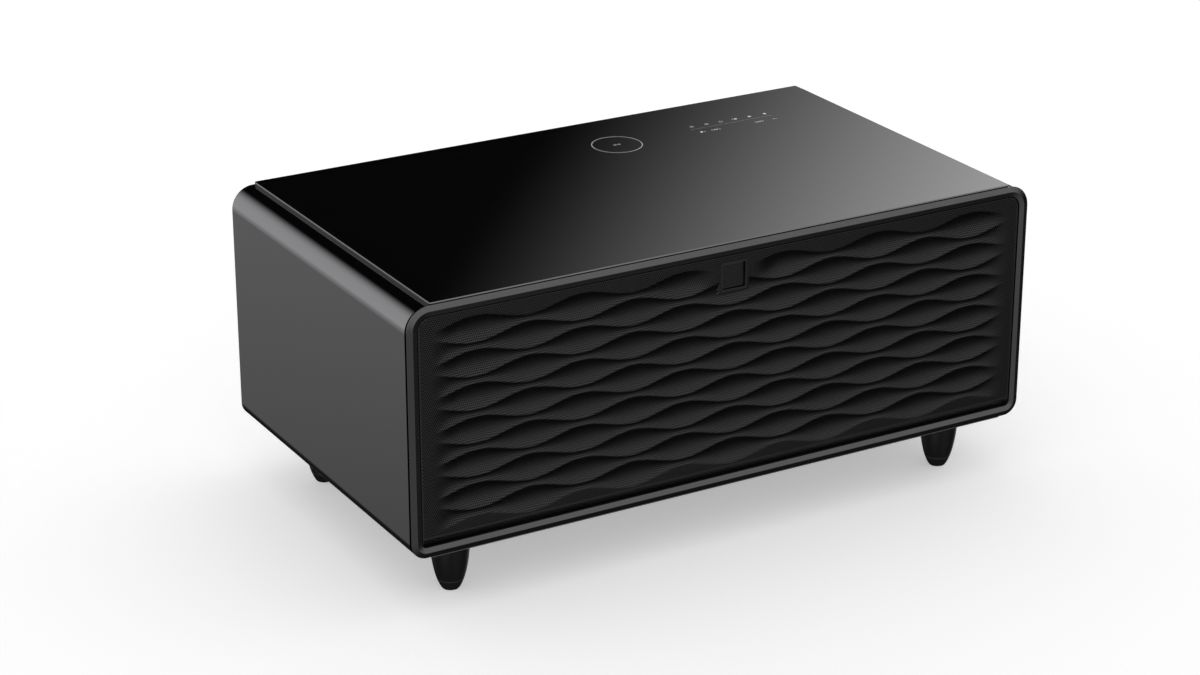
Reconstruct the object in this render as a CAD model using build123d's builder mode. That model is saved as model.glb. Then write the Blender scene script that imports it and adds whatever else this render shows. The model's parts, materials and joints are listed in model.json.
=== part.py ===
from build123d import *
from math import cos, pi
import os

os.makedirs("parts", exist_ok=True)

# Refrigerator coffee table. X runs across the front, Y from the front to the back and Z up.
# The origin is on the floor, under the middle of the table. Millimetres.

# Overall size
table_width = 900
table_depth = 505
leg_height = 78.5
base_thickness = 1.5
shell_height = 321

# Wrapped metal shell
shell_wall = 1.5
shell_top_radius = 30
shell_bottom_radius = 20
shell_flange = 24
shell_setback = 7.8

# Bevelled ring round the front
bezel_width = 13.5
bezel_ridge = 6.9
bezel_outer_fall = 2.4
bezel_inner_fall = 1.5
bezel_lip = 0.4
bezel_rise = 2

# Collar behind the bezel, and the bulkhead that closes the cabinet
neck_inset = 5
bulkhead_depth = 32
bulkhead_wall = 2
frame_clearance = 0.3

# Glass top
glass_thickness = 4.8
glass_half_width = 419
glass_setback = 3.1
glass_back_margin = 3
glass_corner = 3

# Legs
leg_half_span = 368.5
leg_front_inset = 63
leg_back_inset = 76.5
leg_seam = 14
leg_foot_radius = 10.4
leg_top_radius = 25
stud_radius = 4
stud_clearance = 0.3
thread_clearance = 0.05
plate_side = 56
plate_thickness = 2
plate_corner = 6
nut_flats = 13
nut_height = 6.5

# Pressed grille
panel_gap = 1.5
panel_depth = 2.5
grille_sheet = 1.2
grille_depth = 7.5
wave_period = 143.6
wave_amplitude = 6.3
wave_rows = 12
row_pitch = 21.54
first_ridge_drop = 30.1
ridge_land = 0.8
valley_depth = 5
valley_end = 421
valley_fade = 40
least_valley = 0.05
cutter_overlap = 1
stations_per_wave = 8
fold_rise = 23.5
fold_height = 7
fold_fall = 2.8
fold_slot = (3.8, 1.6)
fold_slot_pitch = 276.2
fold_slot_count = 4

# Boss and push pad in the middle of the top edge
pad_opening = 33
pad_centre_drop = 42.6
boss_margin = 5.5
boss_fade_gap = 4
pad_side = 32
pad_corner = 0.8
pad_recess = 3.5
pad_thickness = 3
pad_travel = 3
pad_stem_radius = 4
pad_stem_clearance = 0.1
pad_seat_depth = 16
pad_guide = 4
pad_pocket = 34
spring_wire = 0.8
spring_radius = 7
spring_turns = 4
spring_seat_gap = 0.2
switch_gap = 0.3
switch_size = (20, 10)

# Drawer front
carrier_depth = 10
carrier_thickness = 16
plug_thickness = 24
plug_clearance = 15
gasket_width = 10
gasket_margin = 5

# Cold box
cavity_half_width = 315
cavity_rise = 30
cavity_height = 255
cavity_length = 309
liner_wall = 2
liner_flange = 12
insulation_side = 35
insulation_top = 27
insulation_back = 28

# Drawer runners and bin
runner_thickness = 12.7
runner_height = 45
runner_rise = 136
runner_length = 280
runner_start = 52
runner_steel = 1.2
runner_gap = 0.3
bin_rise = 36
bin_height = 200
bin_wall = 2
bin_length = 286
bin_corner = 6

# Speakers beside the cold box
speaker_rise = 160
speaker_hole = 34
speaker_flange = 4
speaker_box_width = 88
speaker_box_height = 200
speaker_box_depth = 156
speaker_box_wall = 3

# Machine compartment
back_wall = 1.5
back_recess = 2
compressor_x = 235
pot_size = (139, 79)
pot_height = 140
pot_dome = 24
compressor_plate = (190, 100)
grommet_radius = 8
grommet_height = 6
condenser_x = -200
condenser_tubes = 6
condenser_pitch = 22
condenser_length = 160
condenser_tube_radius = 4
condenser_fins = 20
fin_thickness = 0.5
end_plate_thickness = 1.5
fan_x = -70
fan_side = 110
fan_thickness = 25
fan_blades = 7
fan_hub_radius = 19
fan_shaft_radius = 2.5
board_x = -385

# Top electronics under the glass
ring_x = 64
ring_setback = 400
coil_radius = 31
coil_bore = 14
coil_thickness = 1.2
ferrite_radius = 33
ferrite_thickness = 1
touch_x = 247
touch_setback = 403
touch_board_size = (148, 48)
touch_board_thickness = 1.6
tray_margin = 12
tray_depth = 76
tray_height = 5
tray_wall = 1.5
tray_corner = 6
glass_gap = 0.4
pedestal_inset = 2

# Places that follow from the sizes above
front = -table_depth / 2
back = table_depth / 2
shell_bottom = leg_height + base_thickness
shell_top = shell_bottom + shell_height
bezel_top = shell_top + bezel_rise
half_width = table_width / 2
bulkhead_back = bulkhead_depth + bulkhead_wall
cavity_bottom = shell_bottom + cavity_rise
cavity_top = cavity_bottom + cavity_height
liner_back = bulkhead_back + cavity_length + liner_wall
insulation_end = liner_back + insulation_back
insulation_half_width = cavity_half_width + liner_wall + insulation_side
insulation_lid = cavity_top + liner_wall + insulation_top
speaker_half_span = insulation_half_width + speaker_box_width / 2
machine_middle = (insulation_end + table_depth - back_recess - back_wall) / 2


def upright(depth):
    """Plane parallel to the front, facing it, at a depth behind the bezel's ridge."""
    return Plane.XZ.offset(-(front + depth))


def upright_outline(half, bottom, top, bottom_radius, top_radius):
    """Upright rectangle whose lower and upper corners have their own radii."""
    with BuildSketch() as outline:
        with Locations((0, (bottom + top) / 2)):
            Rectangle(2 * half, top - bottom)
        fillet(outline.vertices().group_by(Axis.Y)[0], bottom_radius)
        fillet(outline.vertices().group_by(Axis.Y)[-1], top_radius)
    return outline.sketch


def front_outline(inset):
    """Outer edge of the bezel, drawn in by an inset on every side."""
    return upright_outline(
        half_width - inset,
        shell_bottom + inset,
        bezel_top - inset,
        shell_bottom_radius - inset,
        shell_top_radius - inset,
    )


def cavity_outline(margin):
    """Opening of the cold box, widened by a margin on every side."""
    return upright_outline(
        cavity_half_width + margin,
        cavity_bottom - margin,
        cavity_top + margin,
        bin_corner + margin,
        bin_corner + margin,
    )


# Leg places, shared by the base plate, the leg plates and the nuts
leg_places = {
    "front_left": (-leg_half_span, front + leg_front_inset),
    "front_right": (leg_half_span, front + leg_front_inset),
    "back_left": (-leg_half_span, back - leg_back_inset),
    "back_right": (leg_half_span, back - leg_back_inset),
}

# Outer shell: a wrapped sheet, open at the front, the back and between its lower flanges
shell_length = table_depth - shell_setback
shell_middle = front + shell_setback + shell_length / 2
flange_edge = half_width - shell_bottom_radius - shell_flange
shell_outline = upright_outline(
    half_width, shell_bottom, shell_top, shell_bottom_radius, shell_top_radius
)
flange_screw_x = half_width - shell_bottom_radius - shell_flange / 2
flange_screw_pitch = 140
flange_screw_count = 4
screw_radius = 2
screw_hole_radius = 2.2
base_screw_places = GridLocations(
    2 * flange_screw_x, flange_screw_pitch, 2, flange_screw_count
)
window_margin = 2

with BuildPart() as outer_shell:
    with BuildSketch(upright(shell_setback)):
        add(shell_outline)
        offset(amount=-shell_wall, mode=Mode.SUBTRACT)
    extrude(amount=-shell_length)
    with BuildSketch(Plane.XY.offset(shell_bottom)):
        with Locations((0, shell_middle)):
            Rectangle(2 * flange_edge, shell_length)
    extrude(amount=shell_wall, mode=Mode.SUBTRACT)
    with BuildSketch(Plane.XY.offset(shell_bottom)):
        with base_screw_places:
            Circle(screw_hole_radius)
    extrude(amount=shell_wall, mode=Mode.SUBTRACT)
    with BuildSketch(Plane.XY.offset(shell_top)):
        with Locations((touch_x, front + touch_setback)):
            Rectangle(
                touch_board_size[0] + 2 * window_margin,
                touch_board_size[1] + 2 * window_margin,
            )
        with Locations((ring_x, front + ring_setback)):
            Circle(ferrite_radius + window_margin)
    extrude(amount=-shell_wall, mode=Mode.SUBTRACT)
outer_shell.part.label = "outer_shell"
export_step(outer_shell.part, "parts/outer_shell.step")

# Base plate under the shell, with the leg holes and the air slots of the machine compartment
base_back_margin = 8
base_corner = 12
base_length = table_depth - glass_setback - base_back_margin
base_middle = front + glass_setback + base_length / 2
vent_length = 44
vent_width = 5
vent_pitch = 10
vent_columns = 5
vent_rows = 8

with BuildPart() as base_plate:
    with BuildSketch(Plane.XY.offset(leg_height)):
        with Locations((0, base_middle)):
            RectangleRounded(2 * (half_width - shell_bottom_radius), base_length, base_corner)
        with Locations(*leg_places.values()):
            Circle(stud_radius + stud_clearance, mode=Mode.SUBTRACT)
        with base_screw_places:
            Circle(screw_hole_radius, mode=Mode.SUBTRACT)
        with Locations((fan_x, front + machine_middle)):
            with GridLocations(vent_length + vent_pitch, vent_pitch, vent_columns, vent_rows):
                SlotOverall(vent_length, vent_width, mode=Mode.SUBTRACT)
    extrude(amount=base_thickness)
base_plate.part.label = "base_plate"
export_step(base_plate.part, "parts/base_plate.step")

# Screws that hold the base plate to the shell's flanges
screw_head_radius = 4
screw_head_height = 2
base_screw_length = 6

with BuildPart() as base_screws:
    with BuildSketch(Plane.XY.offset(leg_height)):
        with base_screw_places:
            Circle(screw_head_radius)
    extrude(amount=-screw_head_height)
    with BuildSketch(Plane.XY.offset(leg_height)):
        with base_screw_places:
            Circle(screw_radius)
    extrude(amount=base_screw_length)
base_screws.part.label = "base_screws"
export_step(base_screws.part, "parts/base_screws.step")

# Front bezel: one half of the bevelled ring is swept round the frame, then mirrored
ridge_round = 1.2
with BuildLine(upright(0)) as bezel_path:
    FilletPolyline(
        (0, shell_bottom),
        (half_width, shell_bottom),
        (half_width, bezel_top),
        (0, bezel_top),
        radius=[shell_bottom_radius, shell_top_radius],
    )

with BuildPart() as front_bezel:
    with BuildSketch(Plane.YZ) as bezel_profile:
        with BuildLine():
            Polyline(
                (front + bezel_outer_fall, shell_bottom),
                (front, shell_bottom + bezel_ridge),
                (front + bezel_inner_fall, shell_bottom + bezel_width),
                (front + bezel_outer_fall + bezel_lip, shell_bottom + bezel_width),
                (front + bezel_outer_fall + bezel_lip, shell_bottom),
                close=True,
            )
        make_face()
        fillet(bezel_profile.vertices().sort_by(Axis.X)[0], ridge_round)
    sweep(path=bezel_path.line)
    mirror(about=Plane.YZ)
front_bezel.part.label = "front_bezel"
export_step(front_bezel.part, "parts/front_bezel.step")

# Front frame: neck behind the bezel, spigot inside the shell and bulkhead round the cold box
neck_start = bezel_outer_fall + bezel_lip
spigot_start = shell_setback + frame_clearance
spigot_outline = upright_outline(
    half_width - shell_wall - frame_clearance,
    shell_bottom + shell_wall + frame_clearance,
    shell_top - shell_wall - frame_clearance,
    shell_bottom_radius - shell_wall - frame_clearance,
    shell_top_radius - shell_wall - frame_clearance,
)
speaker_height = shell_bottom + speaker_rise
speaker_places = [(-speaker_half_span, speaker_height), (speaker_half_span, speaker_height)]

with BuildPart() as front_frame:
    with BuildSketch(upright(neck_start)):
        add(front_outline(neck_inset))
    extrude(amount=-(spigot_start - neck_start))
    with BuildSketch(upright(spigot_start)):
        add(spigot_outline)
    extrude(amount=-(bulkhead_back - spigot_start))
    with BuildSketch(upright(neck_start)):
        add(front_outline(bezel_width))
    extrude(amount=-(bulkhead_depth - neck_start), mode=Mode.SUBTRACT)
    with BuildSketch(upright(bulkhead_depth)):
        add(cavity_outline(0))
        with Locations(*speaker_places):
            Circle(speaker_hole)
    extrude(amount=-bulkhead_wall, mode=Mode.SUBTRACT)
front_frame.part.label = "front_frame"
export_step(front_frame.part, "parts/front_frame.step")

# Back panel with louvre slots and the cut-out for the power inlet
inlet_x = -385
inlet_rise = 235
inlet_body = (28, 20)
inlet_flange = (34, 26)
inlet_flange_thickness = 2
inlet_length = 24
inlet_socket = (25, 17)
inlet_socket_depth = 16
inlet_corner = 3
inlet_clearance = 0.5
socket_corner = 2
inlet_height = shell_bottom + inlet_rise
back_panel_depth = table_depth - back_recess - back_wall
back_clearance = 0.3
louvre_length = 90
louvre_width = 5
louvre_pitch = 14
louvre_columns = 4
louvre_rows = 10
inlet_panel_margin = 45
panel_seam = 0.4
inlet_panel_edge = inlet_x + inlet_panel_margin
inlet_panel_low = inlet_height - inlet_panel_margin
back_outline = upright_outline(
    half_width - shell_wall - back_clearance,
    shell_bottom + shell_wall + back_clearance,
    shell_top - shell_wall - back_clearance,
    shell_bottom_radius - shell_wall - back_clearance,
    shell_top_radius - shell_wall - back_clearance,
)

with BuildPart() as back_panel:
    with BuildSketch(upright(back_panel_depth)):
        add(back_outline)
        with Locations((0, (shell_bottom + shell_top) / 2)):
            with GridLocations(louvre_length + louvre_pitch, louvre_pitch, louvre_columns, louvre_rows):
                SlotOverall(louvre_length, louvre_width, mode=Mode.SUBTRACT)
        with Locations((inlet_panel_edge, inlet_panel_low)):
            Rectangle(half_width, shell_top, align=(Align.MAX, Align.MIN), mode=Mode.SUBTRACT)
    extrude(amount=-back_wall)
back_panel.part.label = "back_panel"
export_step(back_panel.part, "parts/back_panel.step")

# The corner plate that holds the power inlet comes off by itself
with BuildPart() as inlet_panel:
    with BuildSketch(upright(back_panel_depth)):
        add(back_outline)
        with Locations((inlet_panel_edge - panel_seam, inlet_panel_low + panel_seam)):
            Rectangle(half_width, shell_top, align=(Align.MAX, Align.MIN), mode=Mode.INTERSECT)
        with Locations((inlet_x, inlet_height)):
            Rectangle(
                inlet_body[0] + 2 * inlet_clearance,
                inlet_body[1] + 2 * inlet_clearance,
                mode=Mode.SUBTRACT,
            )
    extrude(amount=-back_wall)
inlet_panel.part.label = "inlet_panel"
export_step(inlet_panel.part, "parts/inlet_panel.step")

# Power inlet: a moulded socket, and the three flat contacts that stand in it
contact_size = (2, 4)
contact_length = 14
contact_places = [(-7, -2.5), (7, -2.5), (0, 4)]

with BuildPart() as power_inlet:
    with BuildSketch(upright(table_depth - inlet_flange_thickness)):
        with Locations((inlet_x, inlet_height)):
            RectangleRounded(inlet_flange[0], inlet_flange[1], inlet_corner)
    extrude(amount=-inlet_flange_thickness)
    with BuildSketch(upright(table_depth - inlet_length)):
        with Locations((inlet_x, inlet_height)):
            Rectangle(inlet_body[0], inlet_body[1])
    extrude(amount=-(inlet_length - inlet_flange_thickness))
    with BuildSketch(upright(table_depth)):
        with Locations((inlet_x, inlet_height)):
            RectangleRounded(inlet_socket[0], inlet_socket[1], socket_corner)
    extrude(amount=inlet_socket_depth, mode=Mode.SUBTRACT)
power_inlet.part.label = "power_inlet"
export_step(power_inlet.part, "parts/power_inlet.step")

with BuildPart() as inlet_contacts:
    with BuildSketch(upright(table_depth - inlet_socket_depth)):
        with Locations((inlet_x, inlet_height)):
            with Locations(*contact_places):
                Rectangle(*contact_size)
    extrude(amount=-contact_length)
inlet_contacts.part.label = "inlet_contacts"
export_step(inlet_contacts.part, "parts/inlet_contacts.step")

# Glass top
glass_length = table_depth - glass_setback - glass_back_margin
glass_middle = front + glass_setback + glass_length / 2
glass_edge_chamfer = 0.5

with BuildPart() as glass_top:
    with BuildSketch(Plane.XY.offset(shell_top)):
        with Locations((0, glass_middle)):
            RectangleRounded(2 * glass_half_width, glass_length, glass_corner)
    extrude(amount=glass_thickness)
    chamfer(glass_top.faces().sort_by(Axis.Z)[-1].edges(), glass_edge_chamfer)
glass_top.part.label = "glass_top"
export_step(glass_top.part, "parts/glass_top.step")

# Tray, charging coil and touch board under the glass
tray_left = ring_x - ferrite_radius - tray_margin
tray_right = touch_x + touch_board_size[0] / 2 + tray_margin
tray_width = tray_right - tray_left
tray_place = ((tray_left + tray_right) / 2, front + ring_setback)
tray_top = shell_top - shell_wall
tray_bottom = tray_top - tray_height
board_bottom = shell_top - glass_gap - touch_board_thickness
ferrite_bottom = shell_top - glass_gap - ferrite_thickness - coil_thickness

with BuildPart() as control_tray:
    with BuildSketch(Plane.XY.offset(tray_bottom)):
        with Locations(tray_place):
            RectangleRounded(tray_width, tray_depth, tray_corner)
    extrude(amount=tray_height)
    with BuildSketch(Plane.XY.offset(tray_bottom + tray_wall)):
        with Locations(tray_place):
            RectangleRounded(
                tray_width - 2 * tray_wall, tray_depth - 2 * tray_wall, tray_corner - tray_wall
            )
    extrude(amount=tray_height, mode=Mode.SUBTRACT)
    with BuildSketch(Plane.XY.offset(tray_bottom + tray_wall)):
        with Locations((touch_x, front + touch_setback)):
            Rectangle(
                touch_board_size[0] - 2 * pedestal_inset, touch_board_size[1] - 2 * pedestal_inset
            )
    extrude(amount=board_bottom - tray_bottom - tray_wall)
    with BuildSketch(Plane.XY.offset(tray_bottom + tray_wall)):
        with Locations((ring_x, front + ring_setback)):
            Circle(ferrite_radius - pedestal_inset)
    extrude(amount=ferrite_bottom - tray_bottom - tray_wall)
control_tray.part.label = "control_tray"
export_step(control_tray.part, "parts/control_tray.step")

with BuildPart() as touch_board:
    with BuildSketch(Plane.XY.offset(board_bottom)):
        with Locations((touch_x, front + touch_setback)):
            Rectangle(*touch_board_size)
    extrude(amount=touch_board_thickness)
touch_board.part.label = "touch_board"
export_step(touch_board.part, "parts/touch_board.step")

with BuildPart() as charging_coil:
    with BuildSketch(Plane.XY.offset(ferrite_bottom)):
        with Locations((ring_x, front + ring_setback)):
            Circle(ferrite_radius)
    extrude(amount=ferrite_thickness)
    with BuildSketch(Plane.XY.offset(ferrite_bottom + ferrite_thickness)):
        with Locations((ring_x, front + ring_setback)):
            Circle(coil_radius)
            Circle(coil_bore, mode=Mode.SUBTRACT)
    extrude(amount=coil_thickness)
charging_coil.part.label = "charging_coil"
export_step(charging_coil.part, "parts/charging_coil.step")

# Legs: one turned, bullet-shaped profile, cut at the seam into a leg and a glide
leg_bulge = [(12, 2), (14.2, 6), (16.7, 12), (19.2, 20), (21.8, 32), (24, 48)]
peg_radius = 3
peg_length = 12
stud_length = 14

with BuildPart() as leg_form:
    with BuildSketch(Plane.XZ):
        with BuildLine():
            leg_side = Spline((leg_foot_radius, 0), *leg_bulge, (leg_top_radius, leg_height))
            Line(leg_side @ 1, (0, leg_height))
            Line((0, leg_height), (0, 0))
            Line((0, 0), leg_side @ 0)
        make_face()
    revolve(axis=Axis.Z)

for place, (leg_x, leg_y) in leg_places.items():
    with BuildPart() as leg:
        with Locations((leg_x, leg_y, 0)):
            add(leg_form.part)
        split(bisect_by=Plane.XY.offset(leg_seam), keep=Keep.TOP)
        with Locations((leg_x, leg_y, leg_height)):
            Cylinder(stud_radius, stud_length, align=(Align.CENTER, Align.CENTER, Align.MIN))
        with Locations((leg_x, leg_y, leg_seam)):
            Cylinder(
                peg_radius + thread_clearance,
                peg_length + 1,
                align=(Align.CENTER, Align.CENTER, Align.MIN),
                mode=Mode.SUBTRACT,
            )
    leg.part.label = f"leg_{place}"
    export_step(leg.part, f"parts/leg_{place}.step")

    with BuildPart() as glide:
        with Locations((leg_x, leg_y, 0)):
            add(leg_form.part)
        split(bisect_by=Plane.XY.offset(leg_seam), keep=Keep.BOTTOM)
        with Locations((leg_x, leg_y, leg_seam)):
            Cylinder(peg_radius, peg_length, align=(Align.CENTER, Align.CENTER, Align.MIN))
    glide.part.label = f"glide_{place}"
    export_step(glide.part, f"parts/glide_{place}.step")

# Stiffening plates and nuts over the leg holes
with BuildPart() as leg_plates:
    with BuildSketch(Plane.XY.offset(shell_bottom)):
        with Locations(*leg_places.values()):
            RectangleRounded(plate_side, plate_side, plate_corner)
            Circle(stud_radius + stud_clearance, mode=Mode.SUBTRACT)
    extrude(amount=plate_thickness)
leg_plates.part.label = "leg_plates"
export_step(leg_plates.part, "parts/leg_plates.step")

with BuildPart() as leg_nuts:
    with BuildSketch(Plane.XY.offset(shell_bottom + plate_thickness)):
        with Locations(*leg_places.values()):
            RegularPolygon(nut_flats / 2, 6, major_radius=False)
            Circle(stud_radius + thread_clearance, mode=Mode.SUBTRACT)
    extrude(amount=nut_height)
leg_nuts.part.label = "leg_nuts"
export_step(leg_nuts.part, "parts/leg_nuts.step")

# Cold box: liner, insulation, evaporator and lamp
with BuildPart() as liner:
    with BuildSketch(upright(bulkhead_back)):
        add(cavity_outline(liner_flange))
    extrude(amount=-liner_wall)
    with BuildSketch(upright(bulkhead_back)):
        add(cavity_outline(liner_wall))
    extrude(amount=-(cavity_length + liner_wall))
    with BuildSketch(upright(bulkhead_back)):
        add(cavity_outline(0))
    extrude(amount=-cavity_length, mode=Mode.SUBTRACT)
liner.part.label = "liner"
export_step(liner.part, "parts/liner.step")

foam_start = bulkhead_back + liner_wall
leg_recess_margin = 2
with BuildPart() as insulation:
    with BuildSketch(upright(foam_start)):
        with Locations((0, (shell_bottom + insulation_lid) / 2)):
            Rectangle(2 * insulation_half_width, insulation_lid - shell_bottom)
    extrude(amount=-(insulation_end - foam_start))
    with BuildSketch(upright(foam_start)):
        add(cavity_outline(liner_wall))
    extrude(amount=-(liner_back - foam_start), mode=Mode.SUBTRACT)
    for leg_x, leg_y in leg_places.values():
        with Locations((leg_x, leg_y, shell_bottom)):
            Box(
                plate_side + 2 * leg_recess_margin,
                plate_side + 2 * leg_recess_margin,
                stud_length + leg_recess_margin,
                align=(Align.CENTER, Align.CENTER, Align.MIN),
                mode=Mode.SUBTRACT,
            )
insulation.part.label = "insulation"
export_step(insulation.part, "parts/insulation.step")

evaporator_half_width = 280
evaporator_height = 200
evaporator_thickness = 1.5
evaporator_channel_radius = 2.5
evaporator_channels = 6
evaporator_pitch = 32
evaporator_depth = liner_back - liner_wall
cavity_middle = (cavity_bottom + cavity_top) / 2

with BuildPart() as evaporator_plate:
    with BuildSketch(upright(evaporator_depth)):
        with Locations((0, cavity_middle)):
            Rectangle(2 * evaporator_half_width, evaporator_height)
    extrude(amount=evaporator_thickness)
    with BuildSketch(Plane.YZ.offset(-evaporator_half_width)):
        with Locations((front + evaporator_depth - evaporator_thickness, cavity_middle)):
            with GridLocations(1, evaporator_pitch, 1, evaporator_channels):
                Circle(evaporator_channel_radius)
        with Locations((front + evaporator_depth + evaporator_channel_radius, cavity_middle)):
            Rectangle(2 * evaporator_channel_radius, evaporator_height, mode=Mode.SUBTRACT)
    extrude(amount=2 * evaporator_half_width)
evaporator_plate.part.label = "evaporator_plate"
export_step(evaporator_plate.part, "parts/evaporator_plate.step")

lamp_size = (60, 20, 8)
lamp_setback = 70
lamp_edge = 2
with BuildPart() as interior_lamp:
    with Locations((0, front + lamp_setback, cavity_top)):
        Box(*lamp_size, align=(Align.CENTER, Align.CENTER, Align.MAX))
    fillet(interior_lamp.faces().sort_by(Axis.Z)[0].edges(), lamp_edge)
interior_lamp.part.label = "interior_lamp"
export_step(interior_lamp.part, "parts/interior_lamp.step")

# Speakers and their boxes, one at each side of the cold box
basket_depth = 20
basket_clearance = 0.5
cap_rise = 6
cone_rim = 6
rim_depth = 4
surround_width = 3
surround_height = 2
magnet_radius = 22
magnet_back = 34

for side_name, side in (("left", -1), ("right", 1)):
    with BuildPart() as speaker_box:
        with BuildSketch(upright(bulkhead_back)):
            with Locations((side * speaker_half_span, speaker_height)):
                Rectangle(speaker_box_width, speaker_box_height)
        extrude(amount=-speaker_box_depth)
        with BuildSketch(upright(bulkhead_back)):
            with Locations((side * speaker_half_span, speaker_height)):
                Rectangle(
                    speaker_box_width - 2 * speaker_box_wall,
                    speaker_box_height - 2 * speaker_box_wall,
                )
        extrude(amount=-(speaker_box_depth - speaker_box_wall), mode=Mode.SUBTRACT)
    speaker_box.part.label = f"speaker_box_{side_name}"
    export_step(speaker_box.part, f"parts/speaker_box_{side_name}.step")

    with BuildPart() as speaker:
        with BuildSketch(Plane.XZ):
            with BuildLine():
                Polyline(
                    (0, -basket_depth + cap_rise),
                    (speaker_hole - cone_rim, -rim_depth),
                    (speaker_hole - surround_width, surround_height),
                    (speaker_hole + speaker_flange, surround_height),
                    (speaker_hole + speaker_flange, 0),
                    (speaker_hole - basket_clearance, 0),
                    (speaker_hole - basket_clearance, -rim_depth),
                    (magnet_radius, -basket_depth),
                    (magnet_radius, -magnet_back),
                    (0, -magnet_back),
                    close=True,
                )
            make_face()
        revolve(axis=Axis.Z)
    speaker_axis = Plane(
        origin=(side * speaker_half_span, front + bulkhead_depth, speaker_height),
        x_dir=(1, 0, 0),
        z_dir=(0, -1, 0),
    )
    placed_speaker = speaker.part.moved(speaker_axis.location)
    placed_speaker.label = f"speaker_{side_name}"
    export_step(placed_speaker, f"parts/speaker_{side_name}.step")

# Compressor on its plate, with rubber mounts, bolts and the drip tray on top
compressor_y = front + machine_middle
plate_bottom = shell_bottom + grommet_height
pot_bottom = plate_bottom + plate_thickness
mount_spacing = (166, 80, 2, 2)
mount_bolt_radius = 3
bolt_head_flats = 10
bolt_head_height = 4
plate_fold_corner = 12
seam_lip = 4
seam_rise = 56
seam_thickness = 6
stub_radius = 3
stub_length = 14
stub_depth = 20
compressor_side = compressor_x - pot_size[0] / 2
line_height = pot_bottom + 90
suction_height = line_height + 20

with BuildPart() as compressor:
    with BuildSketch(Plane.XY.offset(plate_bottom)):
        with Locations((compressor_x, compressor_y)):
            RectangleRounded(compressor_plate[0], compressor_plate[1], plate_fold_corner)
            with GridLocations(*mount_spacing):
                Circle(mount_bolt_radius + stud_clearance, mode=Mode.SUBTRACT)
    extrude(amount=plate_thickness)
    with BuildSketch(Plane.XY.offset(pot_bottom)):
        with Locations((compressor_x, compressor_y)):
            SlotOverall(*pot_size)
    extrude(amount=pot_height)
    fillet(compressor.faces().sort_by(Axis.Z)[-1].edges(), pot_dome)
    with BuildSketch(Plane.XY.offset(pot_bottom + seam_rise)):
        with Locations((compressor_x, compressor_y)):
            SlotOverall(pot_size[0] + 2 * seam_lip, pot_size[1] + 2 * seam_lip)
    extrude(amount=seam_thickness)
    with BuildSketch(Plane.YZ.offset(compressor_side - stub_length)):
        with Locations((compressor_y, line_height), (compressor_y, suction_height)):
            Circle(stub_radius)
    extrude(amount=stub_length + stub_depth)
compressor.part.label = "compressor"
export_step(compressor.part, "parts/compressor.step")

with BuildPart() as compressor_mounts:
    with BuildSketch(Plane.XY.offset(shell_bottom)):
        with Locations((compressor_x, compressor_y)):
            with GridLocations(*mount_spacing):
                Circle(grommet_radius)
                Circle(mount_bolt_radius + stud_clearance, mode=Mode.SUBTRACT)
    extrude(amount=grommet_height)
compressor_mounts.part.label = "compressor_mounts"
export_step(compressor_mounts.part, "parts/compressor_mounts.step")

with BuildPart() as compressor_bolts:
    with BuildSketch(Plane.XY.offset(shell_bottom)):
        with Locations((compressor_x, compressor_y)):
            with GridLocations(*mount_spacing):
                Circle(mount_bolt_radius)
    extrude(amount=grommet_height + plate_thickness)
    with BuildSketch(Plane.XY.offset(pot_bottom)):
        with Locations((compressor_x, compressor_y)):
            with GridLocations(*mount_spacing):
                RegularPolygon(bolt_head_flats / 2, 6, major_radius=False)
    extrude(amount=bolt_head_height)
compressor_bolts.part.label = "compressor_bolts"
export_step(compressor_bolts.part, "parts/compressor_bolts.step")

drip_size = (90, 60)
drip_height = 18
drip_wall = 2
drip_corner = 8
with BuildPart() as drip_tray:
    with BuildSketch(Plane.XY.offset(pot_bottom + pot_height)):
        with Locations((compressor_x, compressor_y)):
            RectangleRounded(drip_size[0], drip_size[1], drip_corner)
    extrude(amount=drip_height)
    with BuildSketch(Plane.XY.offset(pot_bottom + pot_height + drip_wall)):
        with Locations((compressor_x, compressor_y)):
            RectangleRounded(
                drip_size[0] - 2 * drip_wall, drip_size[1] - 2 * drip_wall, drip_corner - drip_wall
            )
    extrude(amount=drip_height - drip_wall, mode=Mode.SUBTRACT)
drip_tray.part.label = "drip_tray"
export_step(drip_tray.part, "parts/drip_tray.step")

# Condenser: straight tubes joined by bends, through thin fins, on two end plates
condenser_lift = 20
fin_depth = 40
fin_margin = 12
tube_overhang = 6
end_plate_depth = 60
condenser_foot = shell_bottom
condenser_bottom = condenser_foot + condenser_lift
condenser_height = condenser_pitch * (condenser_tubes - 1)
condenser_fin_pitch = condenser_length / (condenser_fins + 1)
fin_height = condenser_height + 2 * fin_margin
condenser_middle = condenser_bottom + condenser_height / 2
condenser_y = compressor_y
tube_half = condenser_length / 2 + tube_overhang
first_fin = condenser_x - (condenser_fins - 1) / 2 * condenser_fin_pitch
fin_places = [
    (first_fin + fin * condenser_fin_pitch, condenser_y, condenser_middle)
    for fin in range(condenser_fins)
]

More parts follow.
